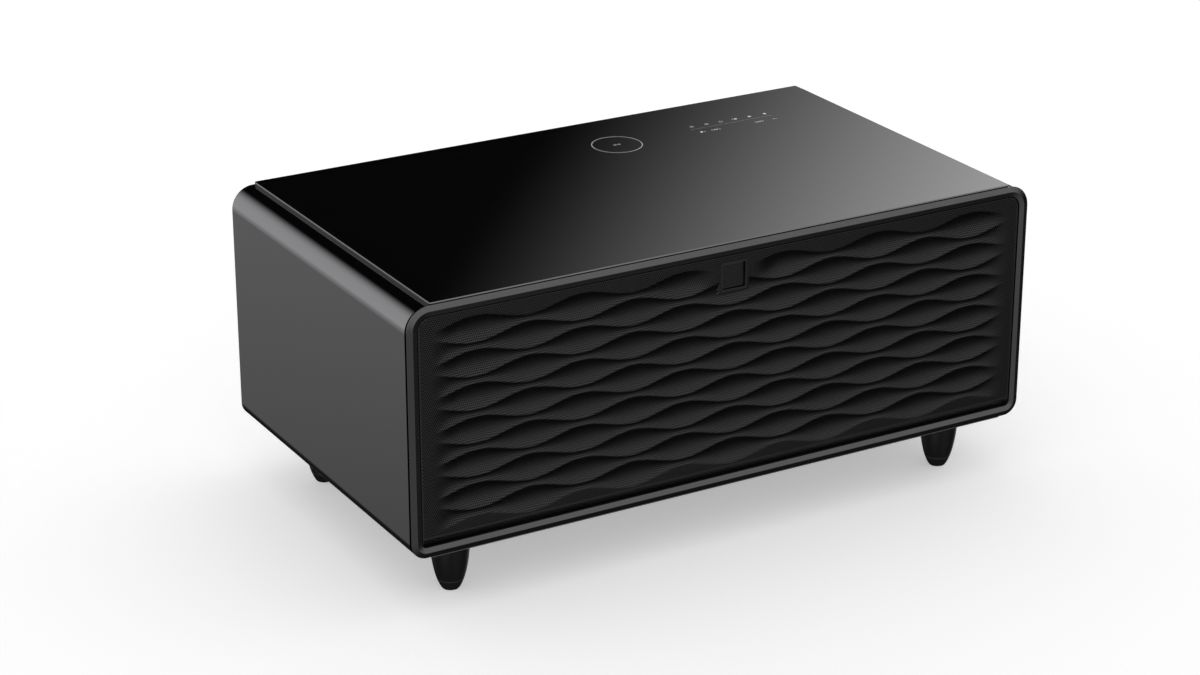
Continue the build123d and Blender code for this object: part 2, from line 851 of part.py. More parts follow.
with BuildPart() as condenser:
    with BuildSketch(Plane.YZ.offset(condenser_x - tube_half)):
        with Locations((condenser_y, condenser_middle)):
            with GridLocations(1, condenser_pitch, 1, condenser_tubes):
                Circle(condenser_tube_radius)
    extrude(amount=2 * tube_half)
    for bend in range(condenser_tubes - 1):
        bend_side = 1 if bend % 2 == 0 else -1
        bend_middle = condenser_bottom + (bend + 0.5) * condenser_pitch
        with BuildSketch(Plane.YZ.offset(condenser_x + bend_side * tube_half)):
            with Locations((condenser_y, bend_middle + condenser_pitch / 2)):
                Circle(condenser_tube_radius)
        bend_axis = Axis(
            (condenser_x + bend_side * tube_half, condenser_y, bend_middle), (0, bend_side, 0)
        )
        revolve(axis=bend_axis, revolution_arc=180)
    with Locations(*fin_places):
        Box(fin_thickness, fin_depth, fin_height)
    with Locations(
        (condenser_x - condenser_length / 2, condenser_y, condenser_foot),
        (condenser_x + condenser_length / 2, condenser_y, condenser_foot),
    ):
        Box(
            end_plate_thickness,
            end_plate_depth,
            condenser_lift + condenser_height + fin_margin,
            align=(Align.CENTER, Align.CENTER, Align.MIN),
        )
condenser.part.label = "condenser"
export_step(condenser.part, "parts/condenser.step")

# Fan: housing with three struts, and a rotor whose shaft runs in the hub
fan_y = compressor_y
fan_height = shell_bottom + fan_side / 2
fan_bore = 52
fan_corner = 6
fan_screw_inset = 6
fan_screw_radius = 2.2
fan_front = fan_x - fan_thickness / 2
strut_thickness = 3
sleeve_length = 17
fan_axis_plane = Plane(origin=(fan_front, fan_y, fan_height), x_dir=(0, 1, 0), z_dir=(1, 0, 0))
sleeve_radius = 6
strut_width = 5
strut_overlap = 2

with BuildPart() as fan_housing:
    with BuildSketch(fan_axis_plane):
        RectangleRounded(fan_side, fan_side, fan_corner)
        Circle(fan_bore, mode=Mode.SUBTRACT)
        with GridLocations(fan_side - 2 * fan_screw_inset, fan_side - 2 * fan_screw_inset, 2, 2):
            Circle(fan_screw_radius, mode=Mode.SUBTRACT)
    extrude(amount=fan_thickness)
    with BuildSketch(fan_axis_plane):
        Circle(fan_hub_radius)
        with PolarLocations(0, 3):
            with Locations((fan_bore / 2, 0)):
                Rectangle(fan_bore + strut_overlap, strut_width)
    extrude(amount=strut_thickness)
    with BuildSketch(fan_axis_plane):
        Circle(sleeve_radius)
    extrude(amount=sleeve_length)
    with BuildSketch(fan_axis_plane):
        Circle(fan_shaft_radius + thread_clearance)
    extrude(amount=fan_thickness, mode=Mode.SUBTRACT)
fan_housing.part.label = "fan_housing"
export_step(fan_housing.part, "parts/fan_housing.step")

rotor_start = 5
rotor_end_gap = 1
rotor_plane = fan_axis_plane.offset(rotor_start)
rotor_length = fan_thickness - rotor_start - rotor_end_gap
cup_wall = 2
blade_tip_gap = 1.5
blade_root_overlap = 1
blade_tip = fan_bore - blade_tip_gap
blade_root = fan_hub_radius - blade_root_overlap
blade_pitch_angle = 38
blade_width = 24
blade_thickness = 1.5
blade_middle = rotor_start + rotor_length / 2

with BuildPart() as fan_rotor:
    with BuildSketch(rotor_plane):
        Circle(fan_hub_radius)
    extrude(amount=rotor_length)
    with BuildSketch(rotor_plane):
        Circle(fan_hub_radius - cup_wall)
    extrude(amount=rotor_length - cup_wall, mode=Mode.SUBTRACT)
    with BuildSketch(fan_axis_plane):
        Circle(fan_shaft_radius)
    extrude(amount=rotor_start + rotor_length - cup_wall)
    for blade in range(fan_blades):
        blade_turn = Rotation(blade * 360 / fan_blades, 0, 0)
        blade_plane = Plane(
            origin=(fan_front + blade_middle, fan_y, fan_height), x_dir=(1, 0, 0), z_dir=(0, 0, 1)
        )
        blade_reach = Pos(0, 0, (blade_root + blade_tip) / 2)
        blade_twist = Rotation(0, 0, blade_pitch_angle)
        with Locations(blade_plane.location * blade_turn * blade_reach * blade_twist):
            Box(blade_width, blade_thickness, blade_tip - blade_root)
fan_rotor.part.label = "fan_rotor"
export_step(fan_rotor.part, "parts/fan_rotor.step")

# Refrigerant lines from the compressor: straight runs with wide bends
line_radius = 3
discharge_start = (compressor_side - stub_length, compressor_y, line_height)
condenser_top_tube = condenser_bottom + (condenser_tubes - 1) * condenser_pitch
line_run = 40
line_overrun = 30
line_bend = 12
line_rise = 66
line_peak = line_height + line_rise
discharge_turn = compressor_side - stub_length - line_run
condenser_turn = condenser_x - tube_half - line_overrun

with BuildPart() as discharge_line:
    with BuildLine() as discharge_path:
        FilletPolyline(
            discharge_start,
            (discharge_turn, compressor_y, line_height),
            (discharge_turn, compressor_y, line_peak),
            (condenser_turn, compressor_y, line_peak),
            (condenser_turn, compressor_y, condenser_top_tube),
            (condenser_x - tube_half, compressor_y, condenser_top_tube),
            radius=line_bend,
        )
    with BuildSketch(Plane(origin=discharge_start, z_dir=(-1, 0, 0))):
        Circle(line_radius)
    sweep(path=discharge_path.line)
discharge_line.part.label = "discharge_line"
export_step(discharge_line.part, "parts/discharge_line.step")

suction_start = (compressor_side - stub_length, compressor_y, suction_height)
suction_run = 20
suction_turn = compressor_side - stub_length - suction_run
with BuildPart() as suction_line:
    with BuildLine() as suction_path:
        FilletPolyline(
            suction_start,
            (suction_turn, compressor_y, suction_height),
            (suction_turn, front + insulation_end, suction_height),
            radius=line_bend,
        )
    with BuildSketch(Plane(origin=suction_start, z_dir=(-1, 0, 0))):
        Circle(line_radius)
    sweep(path=suction_path.line)
suction_line.part.label = "suction_line"
export_step(suction_line.part, "parts/suction_line.step")

# Control board on stand-offs inside the back panel
main_board_size = (90, 110)
main_board_thickness = 1.6
standoff_length = 8
standoff_radius = 3
standoff_inset = 5
main_board_rise = 100
main_board_height = shell_bottom + main_board_rise
board_depth = back_panel_depth - standoff_length
# Each component: its place on the board, its width and height, and how far it stands out
component_blocks = [
    ((-20, 25), (30, 28), 26),
    ((22, 25), (24, 30), 16),
    ((-22, -20), (22, 22), 30),
    ((14, -22), (34, 20), 8),
]

with BuildPart() as control_board:
    with BuildSketch(upright(board_depth)):
        with Locations((board_x, main_board_height)):
            Rectangle(*main_board_size)
    extrude(amount=main_board_thickness)
    with BuildSketch(upright(board_depth)):
        with Locations((board_x, main_board_height)):
            with GridLocations(
                main_board_size[0] - 2 * standoff_inset, main_board_size[1] - 2 * standoff_inset, 2, 2
            ):
                Circle(standoff_radius)
    extrude(amount=-standoff_length)
    for (block_x, block_z), block_size, block_height in component_blocks:
        with BuildSketch(upright(board_depth - main_board_thickness)):
            with Locations((board_x + block_x, main_board_height + block_z)):
                Rectangle(*block_size)
        extrude(amount=block_height)
control_board.part.label = "control_board"
export_step(control_board.part, "parts/control_board.step")

# Drawer runners: three nested channels at each side of the bin
lip_end_gap = 2
runner_middle = shell_bottom + runner_rise
runner_wall_x = cavity_half_width
bin_side_x = cavity_half_width - runner_thickness - runner_gap
outer_depth = runner_thickness - lip_end_gap


def channel(side, web_x, reach, half_height, inward):
    """Runner member: an upright web with two lips, reaching in or out across the gap."""
    lip_end = web_x - reach if inward else web_x + reach
    web_end = web_x - runner_steel if inward else web_x + runner_steel
    with BuildPart() as member:
        with BuildSketch(upright(runner_start)):
            with Locations((side * (web_x + lip_end) / 2, runner_middle)):
                Rectangle(abs(lip_end - web_x), 2 * half_height)
            with Locations((side * (web_end + lip_end) / 2, runner_middle)):
                Rectangle(abs(lip_end - web_end), 2 * (half_height - runner_steel), mode=Mode.SUBTRACT)
        extrude(amount=-runner_length)
    return member.part


runner_step = runner_steel + runner_gap
middle_web_x = runner_wall_x - runner_step
for side_name, side in (("left", -1), ("right", 1)):
    members = {
        "outer": channel(side, runner_wall_x, outer_depth, runner_height / 2, True),
        "middle": channel(
            side, middle_web_x, outer_depth - runner_step, runner_height / 2 - runner_step, True
        ),
        "inner": channel(
            side, bin_side_x, outer_depth - runner_step, runner_height / 2 - 2 * runner_step, False
        ),
    }
    for member_name, member_part in members.items():
        member_part.label = f"slide_{member_name}_{side_name}"
        export_step(member_part, f"parts/slide_{member_name}_{side_name}.step")

# Drawer front: carrier board with the pad's pocket, its guide bore and the speaker openings
carrier_back = carrier_depth + carrier_thickness
pad_height = bezel_top - pad_centre_drop
carrier_inset = bezel_width + panel_gap
pad_face = panel_depth + pad_recess
pad_back = pad_face + pad_thickness
stem_end = pad_seat_depth + pad_guide
switch_margin = 0.1
switch_front = stem_end + pad_travel + switch_gap

with BuildPart() as drawer_carrier:
    with BuildSketch(upright(carrier_depth)):
        add(front_outline(carrier_inset))
        with Locations(*speaker_places):
            Circle(speaker_hole, mode=Mode.SUBTRACT)
    extrude(amount=-carrier_thickness)
    with BuildSketch(upright(carrier_depth)):
        with Locations((0, pad_height)):
            Rectangle(pad_pocket, pad_pocket)
    extrude(amount=-(pad_seat_depth - carrier_depth), mode=Mode.SUBTRACT)
    with BuildSketch(upright(carrier_depth)):
        with Locations((0, pad_height)):
            Circle(pad_stem_radius + pad_stem_clearance)
    extrude(amount=-carrier_thickness, mode=Mode.SUBTRACT)
    with BuildSketch(upright(stem_end)):
        with Locations((0, pad_height)):
            Rectangle(switch_size[0] + 2 * switch_margin, switch_size[1] + 2 * switch_margin)
    extrude(amount=-(carrier_back - stem_end), mode=Mode.SUBTRACT)
drawer_carrier.part.label = "drawer_carrier"
export_step(drawer_carrier.part, "parts/drawer_carrier.step")

# Insulated plug behind the carrier, which the bin hangs on
plug_half_width = cavity_half_width - plug_clearance
plug_rise = 8
plug_bottom = cavity_bottom + plug_rise
plug_top = cavity_top - plug_clearance
with BuildPart() as inner_panel:
    with BuildSketch(upright(carrier_back)):
        add(upright_outline(plug_half_width, plug_bottom, plug_top, bin_corner, bin_corner))
    extrude(amount=-plug_thickness)
inner_panel.part.label = "inner_panel"
export_step(inner_panel.part, "parts/inner_panel.step")

# Door gasket against the bulkhead
with BuildPart() as gasket:
    with BuildSketch(upright(carrier_back)):
        add(cavity_outline(gasket_margin + gasket_width))
        add(cavity_outline(gasket_margin), mode=Mode.SUBTRACT)
    extrude(amount=-(bulkhead_depth - carrier_back - frame_clearance))
gasket.part.label = "gasket"
export_step(gasket.part, "parts/gasket.step")

# Drawer bin, open at the top, and its divider
bin_front = carrier_back + plug_thickness
bin_bottom = shell_bottom + bin_rise
bin_middle = front + bin_front + bin_length / 2
divider_x = 110
divider_gap = 0.3
divider_height = 120

with BuildPart() as drawer_bin:
    with Locations((0, bin_middle, bin_bottom)):
        Box(2 * bin_side_x, bin_length, bin_height, align=(Align.CENTER, Align.CENTER, Align.MIN))
    fillet(drawer_bin.edges().filter_by(Axis.Z), bin_corner)
    offset(amount=-bin_wall, openings=drawer_bin.faces().sort_by(Axis.Z)[-1])
drawer_bin.part.label = "drawer_bin"
export_step(drawer_bin.part, "parts/drawer_bin.step")

with BuildPart() as bin_divider:
    with Locations((divider_x, bin_middle, bin_bottom + bin_wall)):
        Box(
            bin_wall,
            bin_length - 2 * (bin_wall + divider_gap),
            divider_height,
            align=(Align.CENTER, Align.CENTER, Align.MIN),
        )
bin_divider.part.label = "bin_divider"
export_step(bin_divider.part, "parts/bin_divider.step")

# Catch magnets on the bulkhead and strike plates on the carrier
magnet_size = (30, 12)
magnet_thickness = 4
magnet_rise = 100
magnet_places = [
    (side * speaker_half_span, speaker_height + rise)
    for side in (-1, 1)
    for rise in (-magnet_rise, magnet_rise)
]
strike_thickness = bulkhead_depth - magnet_thickness - carrier_back - frame_clearance

with BuildPart() as catch_magnets:
    with BuildSketch(upright(bulkhead_depth)):
        with Locations(*magnet_places):
            Rectangle(*magnet_size)
    extrude(amount=magnet_thickness)
catch_magnets.part.label = "catch_magnets"
export_step(catch_magnets.part, "parts/catch_magnets.step")

with BuildPart() as strike_plates:
    with BuildSketch(upright(carrier_back)):
        with Locations(*magnet_places):
            Rectangle(*magnet_size)
    extrude(amount=-strike_thickness)
strike_plates.part.label = "strike_plates"
export_step(strike_plates.part, "parts/strike_plates.step")

# Push pad with its stem, return spring and switch
with BuildPart() as push_pad:
    with BuildSketch(upright(pad_face)):
        with Locations((0, pad_height)):
            RectangleRounded(pad_side, pad_side, pad_corner)
    extrude(amount=-pad_thickness)
    with BuildSketch(upright(pad_back)):
        with Locations((0, pad_height)):
            Circle(pad_stem_radius)
    extrude(amount=-(stem_end - pad_back))
push_pad.part.label = "push_pad"
export_step(push_pad.part, "parts/push_pad.step")

spring_space = pad_seat_depth - pad_back - spring_wire - spring_seat_gap
spring_pitch = spring_space / spring_turns
spring_start = (0, front + pad_back + (spring_wire + spring_seat_gap) / 2, pad_height)
with BuildPart() as pad_spring:
    with BuildLine() as spring_path:
        Helix(spring_pitch, spring_space, spring_radius, center=spring_start, direction=(0, 1, 0))
    with BuildSketch(Plane(origin=spring_path.line @ 0, z_dir=spring_path.line % 0)):
        Circle(spring_wire / 2)
    sweep(path=spring_path.line, is_frenet=True)
pad_spring.part.label = "pad_spring"
export_step(pad_spring.part, "parts/pad_spring.step")

with BuildPart() as pad_switch:
    with BuildSketch(upright(switch_front)):
        with Locations((0, pad_height)):
            Rectangle(*switch_size)
    extrude(amount=-(carrier_back - switch_front))
pad_switch.part.label = "pad_switch"
export_step(pad_switch.part, "parts/pad_switch.step")


# Grille: a sheet pressed into rows of lens-shaped valleys between sine-shaped ridges
def ridge_height(ridge, x):
    """Height of a ridge at x. Neighbouring ridges swing opposite ways."""
    swing = wave_amplitude * cos(2 * pi * (x / wave_period - 0.5))
    level = bezel_top - first_ridge_drop - ridge * row_pitch
    return level + (swing if ridge % 2 == 0 else -swing)


def smooth_fade(distance):
    """Share of the full depth, a distance in from the end of a valley."""
    share = min(max(distance / valley_fade, 0), 1)
    return share * share * (3 - 2 * share)


def valley_cutter(row, left, right):
    """Solid that presses one valley into the sheet, between two ridges and two ends."""
    widest = row_pitch + 2 * wave_amplitude - ridge_land
    surface = front + panel_depth
    proud = surface - cutter_overlap
    station_count = round((right - left) / wave_period * stations_per_wave)
    with BuildPart() as cutter:
        for station in range(station_count + 1):
            x = left + (right - left) * station / station_count
            upper = ridge_height(row, x) - ridge_land / 2
            lower = ridge_height(row + 1, x) + ridge_land / 2
            fade = min(smooth_fade(x - left), smooth_fade(right - x))
            depth = max(valley_depth * fade * (upper - lower) / widest, least_valley)
            with BuildSketch(Plane.YZ.offset(x)):
                with BuildLine():
                    ThreePointArc(
                        (surface, lower), (surface + depth, (upper + lower) / 2), (surface, upper)
                    )
                    Polyline(
                        (surface, upper), (proud, upper), (proud, lower), (surface, lower)
                    )
                make_face()
        loft()
        with BuildSketch(upright(0)):
            with Locations((0, pad_height - boss_half)):
                Rectangle(2 * boss_half, 2 * boss_half, align=(Align.CENTER, Align.MIN))
        extrude(amount=-form_thickness, mode=Mode.SUBTRACT)
    return cutter.part


def pressed_block(inset, openings):
    """Block whose front is the grille's face, with its lower fold, openings and valleys."""
    with BuildPart() as block:
        with BuildSketch(upright(panel_depth)):
            add(front_outline(inset))
            add(openings, mode=Mode.SUBTRACT)
        extrude(amount=-form_thickness)
        with BuildSketch(Plane.YZ.offset(-half_width)):
            with BuildLine():
                Polyline(
                    (front + panel_depth, fold_line),
                    (front + panel_depth + 2 * fold_fall, fold_line - 2 * fold_height),
                    (front, fold_line - 2 * fold_height),
                    (front, fold_line),
                    close=True,
                )
            make_face()
        extrude(amount=table_width, mode=Mode.SUBTRACT)
        add(valley_cutters, mode=Mode.SUBTRACT)
    return block.part


boss_half = pad_opening / 2 + boss_margin
boss_end = boss_half + boss_fade_gap
form_margin = 5
form_thickness = 12
fold_line = shell_bottom + fold_rise
valley_cutters = [
    valley_cutter(0, -valley_end, -boss_end),
    valley_cutter(0, boss_end, valley_end),
] + [valley_cutter(row, -valley_end, valley_end) for row in range(1, wave_rows)]

with BuildSketch() as grille_openings:
    with Locations((0, pad_height)):
        Rectangle(pad_opening, pad_opening)
    with Locations((0, fold_line - fold_slot[1])):
        with GridLocations(fold_slot_pitch, 1, fold_slot_count, 1):
            Rectangle(*fold_slot)

with BuildPart() as grille:
    add(pressed_block(carrier_inset, grille_openings.sketch))
    with Locations((0, grille_sheet, 0)):
        add(pressed_block(carrier_inset - form_margin, []), mode=Mode.SUBTRACT)
    with BuildSketch(upright(panel_depth + fold_fall)):
        add(front_outline(carrier_inset))
        add(front_outline(carrier_inset + grille_sheet), mode=Mode.SUBTRACT)
    extrude(amount=-(grille_depth - fold_fall))
grille.part.label = "grille"
export_step(grille.part, "parts/grille.step")
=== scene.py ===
import json
from math import cos, pi, radians, sin

import bpy
import numpy as np
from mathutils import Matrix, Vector


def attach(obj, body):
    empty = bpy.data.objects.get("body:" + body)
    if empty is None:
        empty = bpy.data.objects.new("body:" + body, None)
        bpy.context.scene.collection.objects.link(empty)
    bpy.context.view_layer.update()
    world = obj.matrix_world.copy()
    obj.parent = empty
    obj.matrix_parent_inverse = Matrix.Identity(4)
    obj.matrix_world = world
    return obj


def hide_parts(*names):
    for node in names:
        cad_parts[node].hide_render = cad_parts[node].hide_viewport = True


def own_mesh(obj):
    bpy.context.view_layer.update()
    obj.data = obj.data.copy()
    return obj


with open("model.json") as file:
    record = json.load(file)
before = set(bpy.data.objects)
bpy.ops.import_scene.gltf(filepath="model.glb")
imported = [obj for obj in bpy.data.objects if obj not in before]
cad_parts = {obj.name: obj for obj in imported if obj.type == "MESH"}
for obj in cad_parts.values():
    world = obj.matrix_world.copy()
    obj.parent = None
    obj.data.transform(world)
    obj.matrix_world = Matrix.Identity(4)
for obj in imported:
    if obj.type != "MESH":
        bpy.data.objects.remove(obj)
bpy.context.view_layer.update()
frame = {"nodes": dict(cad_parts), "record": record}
scene = bpy.context.scene

# All lengths are in metres, and depths are measured back from the front.
# Pressed grille, with the sizes of its solid
FRONT = -0.2525
BEZEL_TOP = 0.403
SHELL_BOTTOM = 0.08
GRILLE_HALF_WIDTH = 0.435
GRILLE_LOW = 0.095
GRILLE_HIGH = 0.388
GRILLE_LOW_RADIUS = 0.005
GRILLE_HIGH_RADIUS = 0.015
CORNER_STEPS = 8
FACE_DEPTH = 0.0025
CARRIER_DEPTH = 0.01
SHEET = 0.0012
WAVE_PERIOD = 0.1436
WAVE_PHASE = 0.5
WAVE_AMPLITUDE = 0.0063
WAVE_ROWS = 12
ROW_PITCH = 0.02154
FIRST_RIDGE = BEZEL_TOP - 0.0301
RIDGE_LAND = 0.0008
VALLEY_DEPTH = 0.005
VALLEY_END = 0.421
VALLEY_FADE = 0.04
LEAST_SAG = 1e-9
FOLD_LINE = SHELL_BOTTOM + 0.0235
FOLD_SLOPE = 0.4
FOLD_SLOTS = 4
FOLD_SLOT_WIDTH = 0.0038
FOLD_SLOT_HEIGHT = 0.0016
FOLD_SLOT_PITCH = 0.2762
PAD_HEIGHT = BEZEL_TOP - 0.0426
PAD_OPENING = 0.033
BOSS_HALF = 0.022
BOSS_END = 0.026

# Perforation: a round hole in each cell of a hexagon grid that is centred on the push pad
HOLE_PITCH = 0.00295
HOLE_ROW = 0.00253
HOLE_RADIUS = 0.00096
GRILLE_PIECES = 8
SPARE_CELLS = 2
CELL_SIDES = 6
HOLE_SIDES = 2 * CELL_SIDES
# Corners of a cell round its centre, in half pitches across and in thirds of a row upward
CELL_ACROSS = [1, 0, -1, -1, 0, 1]
CELL_UPWARD = [1, 2, 1, -1, -2, -1]
# More than a sheet has thirds of a row, so that one whole number can stand for a corner
KEY_STEP = 100000

# Push pad and its stem
PAD_DEPTH = FACE_DEPTH + 0.0035
PAD_HALF = 0.016
PAD_CORNER = 0.0008
PAD_CORNER_STEPS = 3
PAD_SHEET = 0.001
PAD_BACK = PAD_DEPTH + 0.003
STEM_RADIUS = 0.004
STEM_END = 0.02
STEM_SIDES = 32

# Return spring of the pad
SPRING_RADIUS = 0.007
SPRING_WIRE_RADIUS = 0.0004
SPRING_TURNS = 4
SPRING_GAP = 0.0006
SPRING_START = PAD_BACK + SPRING_GAP
SPRING_SEAT = 0.016
SPRING_STEPS = 32
SPRING_SIDES = 8

# Acoustic cloth over the two sound openings
SPEAKER_ACROSS = 0.396
SPEAKER_HEIGHT = SHELL_BOTTOM + 0.16
CLOTH_RADIUS = 0.0338
CLOTH_DEPTH = 0.014
CLOTH_THICKNESS = 0.0006
CLOTH_SIDES = 64

# Glass, with a painted highlight: the rim round its top is painted pale
GLASS_TOP = 0.4058
GLASS_RIM = 0.0014
GLASS_RIM_BLEND = 0.0002
GLASS_TOP_FACING = 0.95
GLASS_BLACK = (0.0016, 0.0016, 0.0017)
# Pale colour of the painted highlight on the glass rim
GLASS_RIM_HIGHLIGHT_COLOUR = (0.2, 0.2, 0.21)

# Seam between each leg and its glide
LEG_SEAM = 0.014
SEAM_HALF = 0.0004
LEG_BLACK = (0.008, 0.008, 0.008)
SEAM_COLOUR = (0.05, 0.05, 0.05)

# Noise of every material: the part of its range that the colours span, and the depth of its relief
# as a share of the grain
NOISE_LOW = 0.3
NOISE_HIGH = 0.7
RELIEF_SHARE = 0.2

# Printed marks on the glass. Places are across and along the glass.
PRINT_HEIGHT = 0.00005
PRINT_LINE = 0.0006
DOT_SIDES = 20
RING_PLACE = (0.064, FRONT + 0.398)
RING_RADIUS = 0.034
RING_LINE = 0.0007
RING_STEPS = 120
LINK_HALF = 0.0035
LINK_RADIUS = 0.0015
LINK_BAR_HALF = 0.002
LINE_ENDS = (0.183, 0.317)
LINE_PLACE = FRONT + 0.4025
ICON_ROW = FRONT + 0.4135
ICON_PLACES = (0.191, 0.215, 0.238, 0.26, 0.284, 0.309)
VALUE_ROW = FRONT + 0.3875
VALUE_PLACES = (0.2135, 0.2835)
SMALL_DOT_PLACE = 0.191
SMALL_DOT_RADIUS = 0.0022
DASH_ENDS = (0.1945, 0.197)
DASH_WIDTH = 0.0008
MINUS_ENDS = (0.3055, 0.3125)
MINUS_WIDTH = 0.0007
MARK_COLOUR = (0.75, 0.75, 0.75)
LINE_COLOUR = (0.2, 0.2, 0.2)

# Floor, partly lit by itself, so that its contact shadow stays as pale as in the photograph
FLOOR_HALF = 15
FLOOR_GLOW = 0.38
FLOOR_COLOUR = (0.8, 0.8, 0.8)

# Soft round light panels that only reflections see: azimuth from the back towards the right and
# elevation of the middle, inner and outer half-angle, all in degrees, and strength
PANELS = [
    (65.3, 37, 6.8, 37.2, 7.3),
    (-40, 5, 10, 42, 1.0),
    (165, 24, 25, 62, 0.36),
    (238, 4, 20, 48, 0.5),
]
GROUND_PANELS = [
    (-38, 12, 20, 50, 0.52),
    (170, -14, 5, 42, 0.16),
    (238, -4, 20, 44, 0.4),
    (52, -4, 20, 44, 0.4),
]
SKY_BASE = 0.006
GROUND_BASE = 0.02
# Upward part of a direction where the ground's panels end and where the sky's are full
GROUND_END = -0.34
SKY_START = -0.12
# Even light for all other rays, and the white that the camera sees
AMBIENT = 1.0
BACKDROP = 1.0

# Camera at the photograph's place
LENS = 90
SENSOR = 36
VIEW_LIMIT = 100
CAMERA_PLACE = (-1.8683, -3.1558, 1.6724)
CAMERA_AIM = (0.463592, 0.802965, -0.374607)


def add_node(tree, kind, **inputs):
    """New shader node. Each input is named in lower case with _ for a space."""
    node = tree.nodes.new(kind)
    for name, value in inputs.items():
        node.inputs[name.replace("_", " ").title()].default_value = value
    return node


def surface(name, colour, roughness, metallic=0.0, grain=0.002, stretch=(1, 1, 1), tone=0.08,
            gloss=0.04, bump=0.03, alpha=1.0):
    """Material whose colour, roughness and relief vary with a fine noise of a real grain size."""
    material = bpy.data.materials.new(name)
    material.use_nodes = True
    tree = material.node_tree
    shader = tree.nodes["Principled BSDF"]
    shader.inputs["Metallic"].default_value = metallic
    shader.inputs["Alpha"].default_value = alpha
    place = add_node(tree, "ShaderNodeTexCoord")
    scale = add_node(tree, "ShaderNodeMapping", scale=[s / grain for s in stretch])
    noise = add_node(tree, "ShaderNodeTexNoise", scale=1.0, detail=4.0, roughness=0.55)
    shade = add_node(tree, "ShaderNodeValToRGB")
    darker, lighter = shade.color_ramp.elements
    darker.position = NOISE_LOW
    lighter.position = NOISE_HIGH
    darker.color = (*[c * (1 - tone) for c in colour], 1)
    lighter.color = (*[min(c * (1 + tone), 1) for c in colour], 1)
    rough = add_node(
        tree, "ShaderNodeMapRange", to_min=max(roughness - gloss, 0), to_max=roughness + gloss
    )
    relief = add_node(tree, "ShaderNodeBump", strength=bump, distance=grain * RELIEF_SHARE)
    tree.links.new(place.outputs["Object"], scale.inputs["Vector"])
    tree.links.new(scale.outputs["Vector"], noise.inputs["Vector"])
    tree.links.new(noise.outputs["Fac"], shade.inputs["Fac"])
    tree.links.new(noise.outputs["Fac"], rough.inputs["Value"])
    tree.links.new(noise.outputs["Fac"], relief.inputs["Height"])
    tree.links.new(shade.outputs["Color"], shader.inputs["Base Color"])
    tree.links.new(rough.outputs["Result"], shader.inputs["Roughness"])
    tree.links.new(relief.outputs["Normal"], shader.inputs["Normal"])
    return material


def two_colours(tree, factor, plain, marked):
    """Paints the shader plain where the factor is 0 and marked where it is 1."""
    paint = add_node(tree, "ShaderNodeValToRGB")
    paint.color_ramp.elements[0].color = (*plain, 1)
    paint.color_ramp.elements[1].color = (*marked, 1)
    tree.links.new(factor, paint.inputs["Fac"])
    tree.links.new(paint.outputs["Color"], tree.nodes["Principled BSDF"].inputs["Base Color"])


def glass_surface():
    """Black back-painted glass, with a painted highlight: the rim round its top is painted pale."""
    material = surface("black_glass", GLASS_BLACK, 0.035, grain=0.05, gloss=0.005, bump=0)
    tree = material.node_tree
    where = add_node(tree, "ShaderNodeNewGeometry")
    facing = add_node(tree, "ShaderNodeSeparateXYZ")
    height = add_node(tree, "ShaderNodeSeparateXYZ")
    sideways = add_node(tree, "ShaderNodeMath")
    sideways.operation = "LESS_THAN"
    sideways.inputs[1].default_value = GLASS_TOP_FACING
    upper = add_node(
        tree,
        "ShaderNodeMapRange",
        from_min=GLASS_TOP - GLASS_RIM - GLASS_RIM_BLEND,
        from_max=GLASS_TOP - GLASS_RIM,
    )
    rim = add_node(tree, "ShaderNodeMath")
    rim.operation = "MULTIPLY"
    tree.links.new(where.outputs["Normal"], facing.inputs["Vector"])
    tree.links.new(where.outputs["Position"], height.inputs["Vector"])
    tree.links.new(facing.outputs["Z"], sideways.inputs[0])
    tree.links.new(height.outputs["Z"], upper.inputs["Value"])
    tree.links.new(sideways.outputs["Value"], rim.inputs[0])
    tree.links.new(upper.outputs["Result"], rim.inputs[1])
    # Painted highlight: the top band of the glass's sides is painted pale in place of the light its
    # polished rim would reflect
    two_colours(tree, rim.outputs["Value"], GLASS_BLACK, GLASS_RIM_HIGHLIGHT_COLOUR)
    return material


def leg_surface(name, roughness):
    """Satin black with the fine pale line of the seam between leg and glide."""
    material = surface(name, LEG_BLACK, roughness, grain=0.0015, bump=0.03)
    tree = material.node_tree
    place = add_node(tree, "ShaderNodeNewGeometry")
    split = add_node(tree, "ShaderNodeSeparateXYZ")
    gap = add_node(tree, "ShaderNodeMath")
    gap.operation = "COMPARE"
    gap.inputs[1].default_value = LEG_SEAM
    gap.inputs[2].default_value = SEAM_HALF
    tree.links.new(place.outputs["Position"], split.inputs["Vector"])
    tree.links.new(split.outputs["Z"], gap.inputs[0])
    two_colours(tree, gap.outputs["Value"], LEG_BLACK, SEAM_COLOUR)
    return material


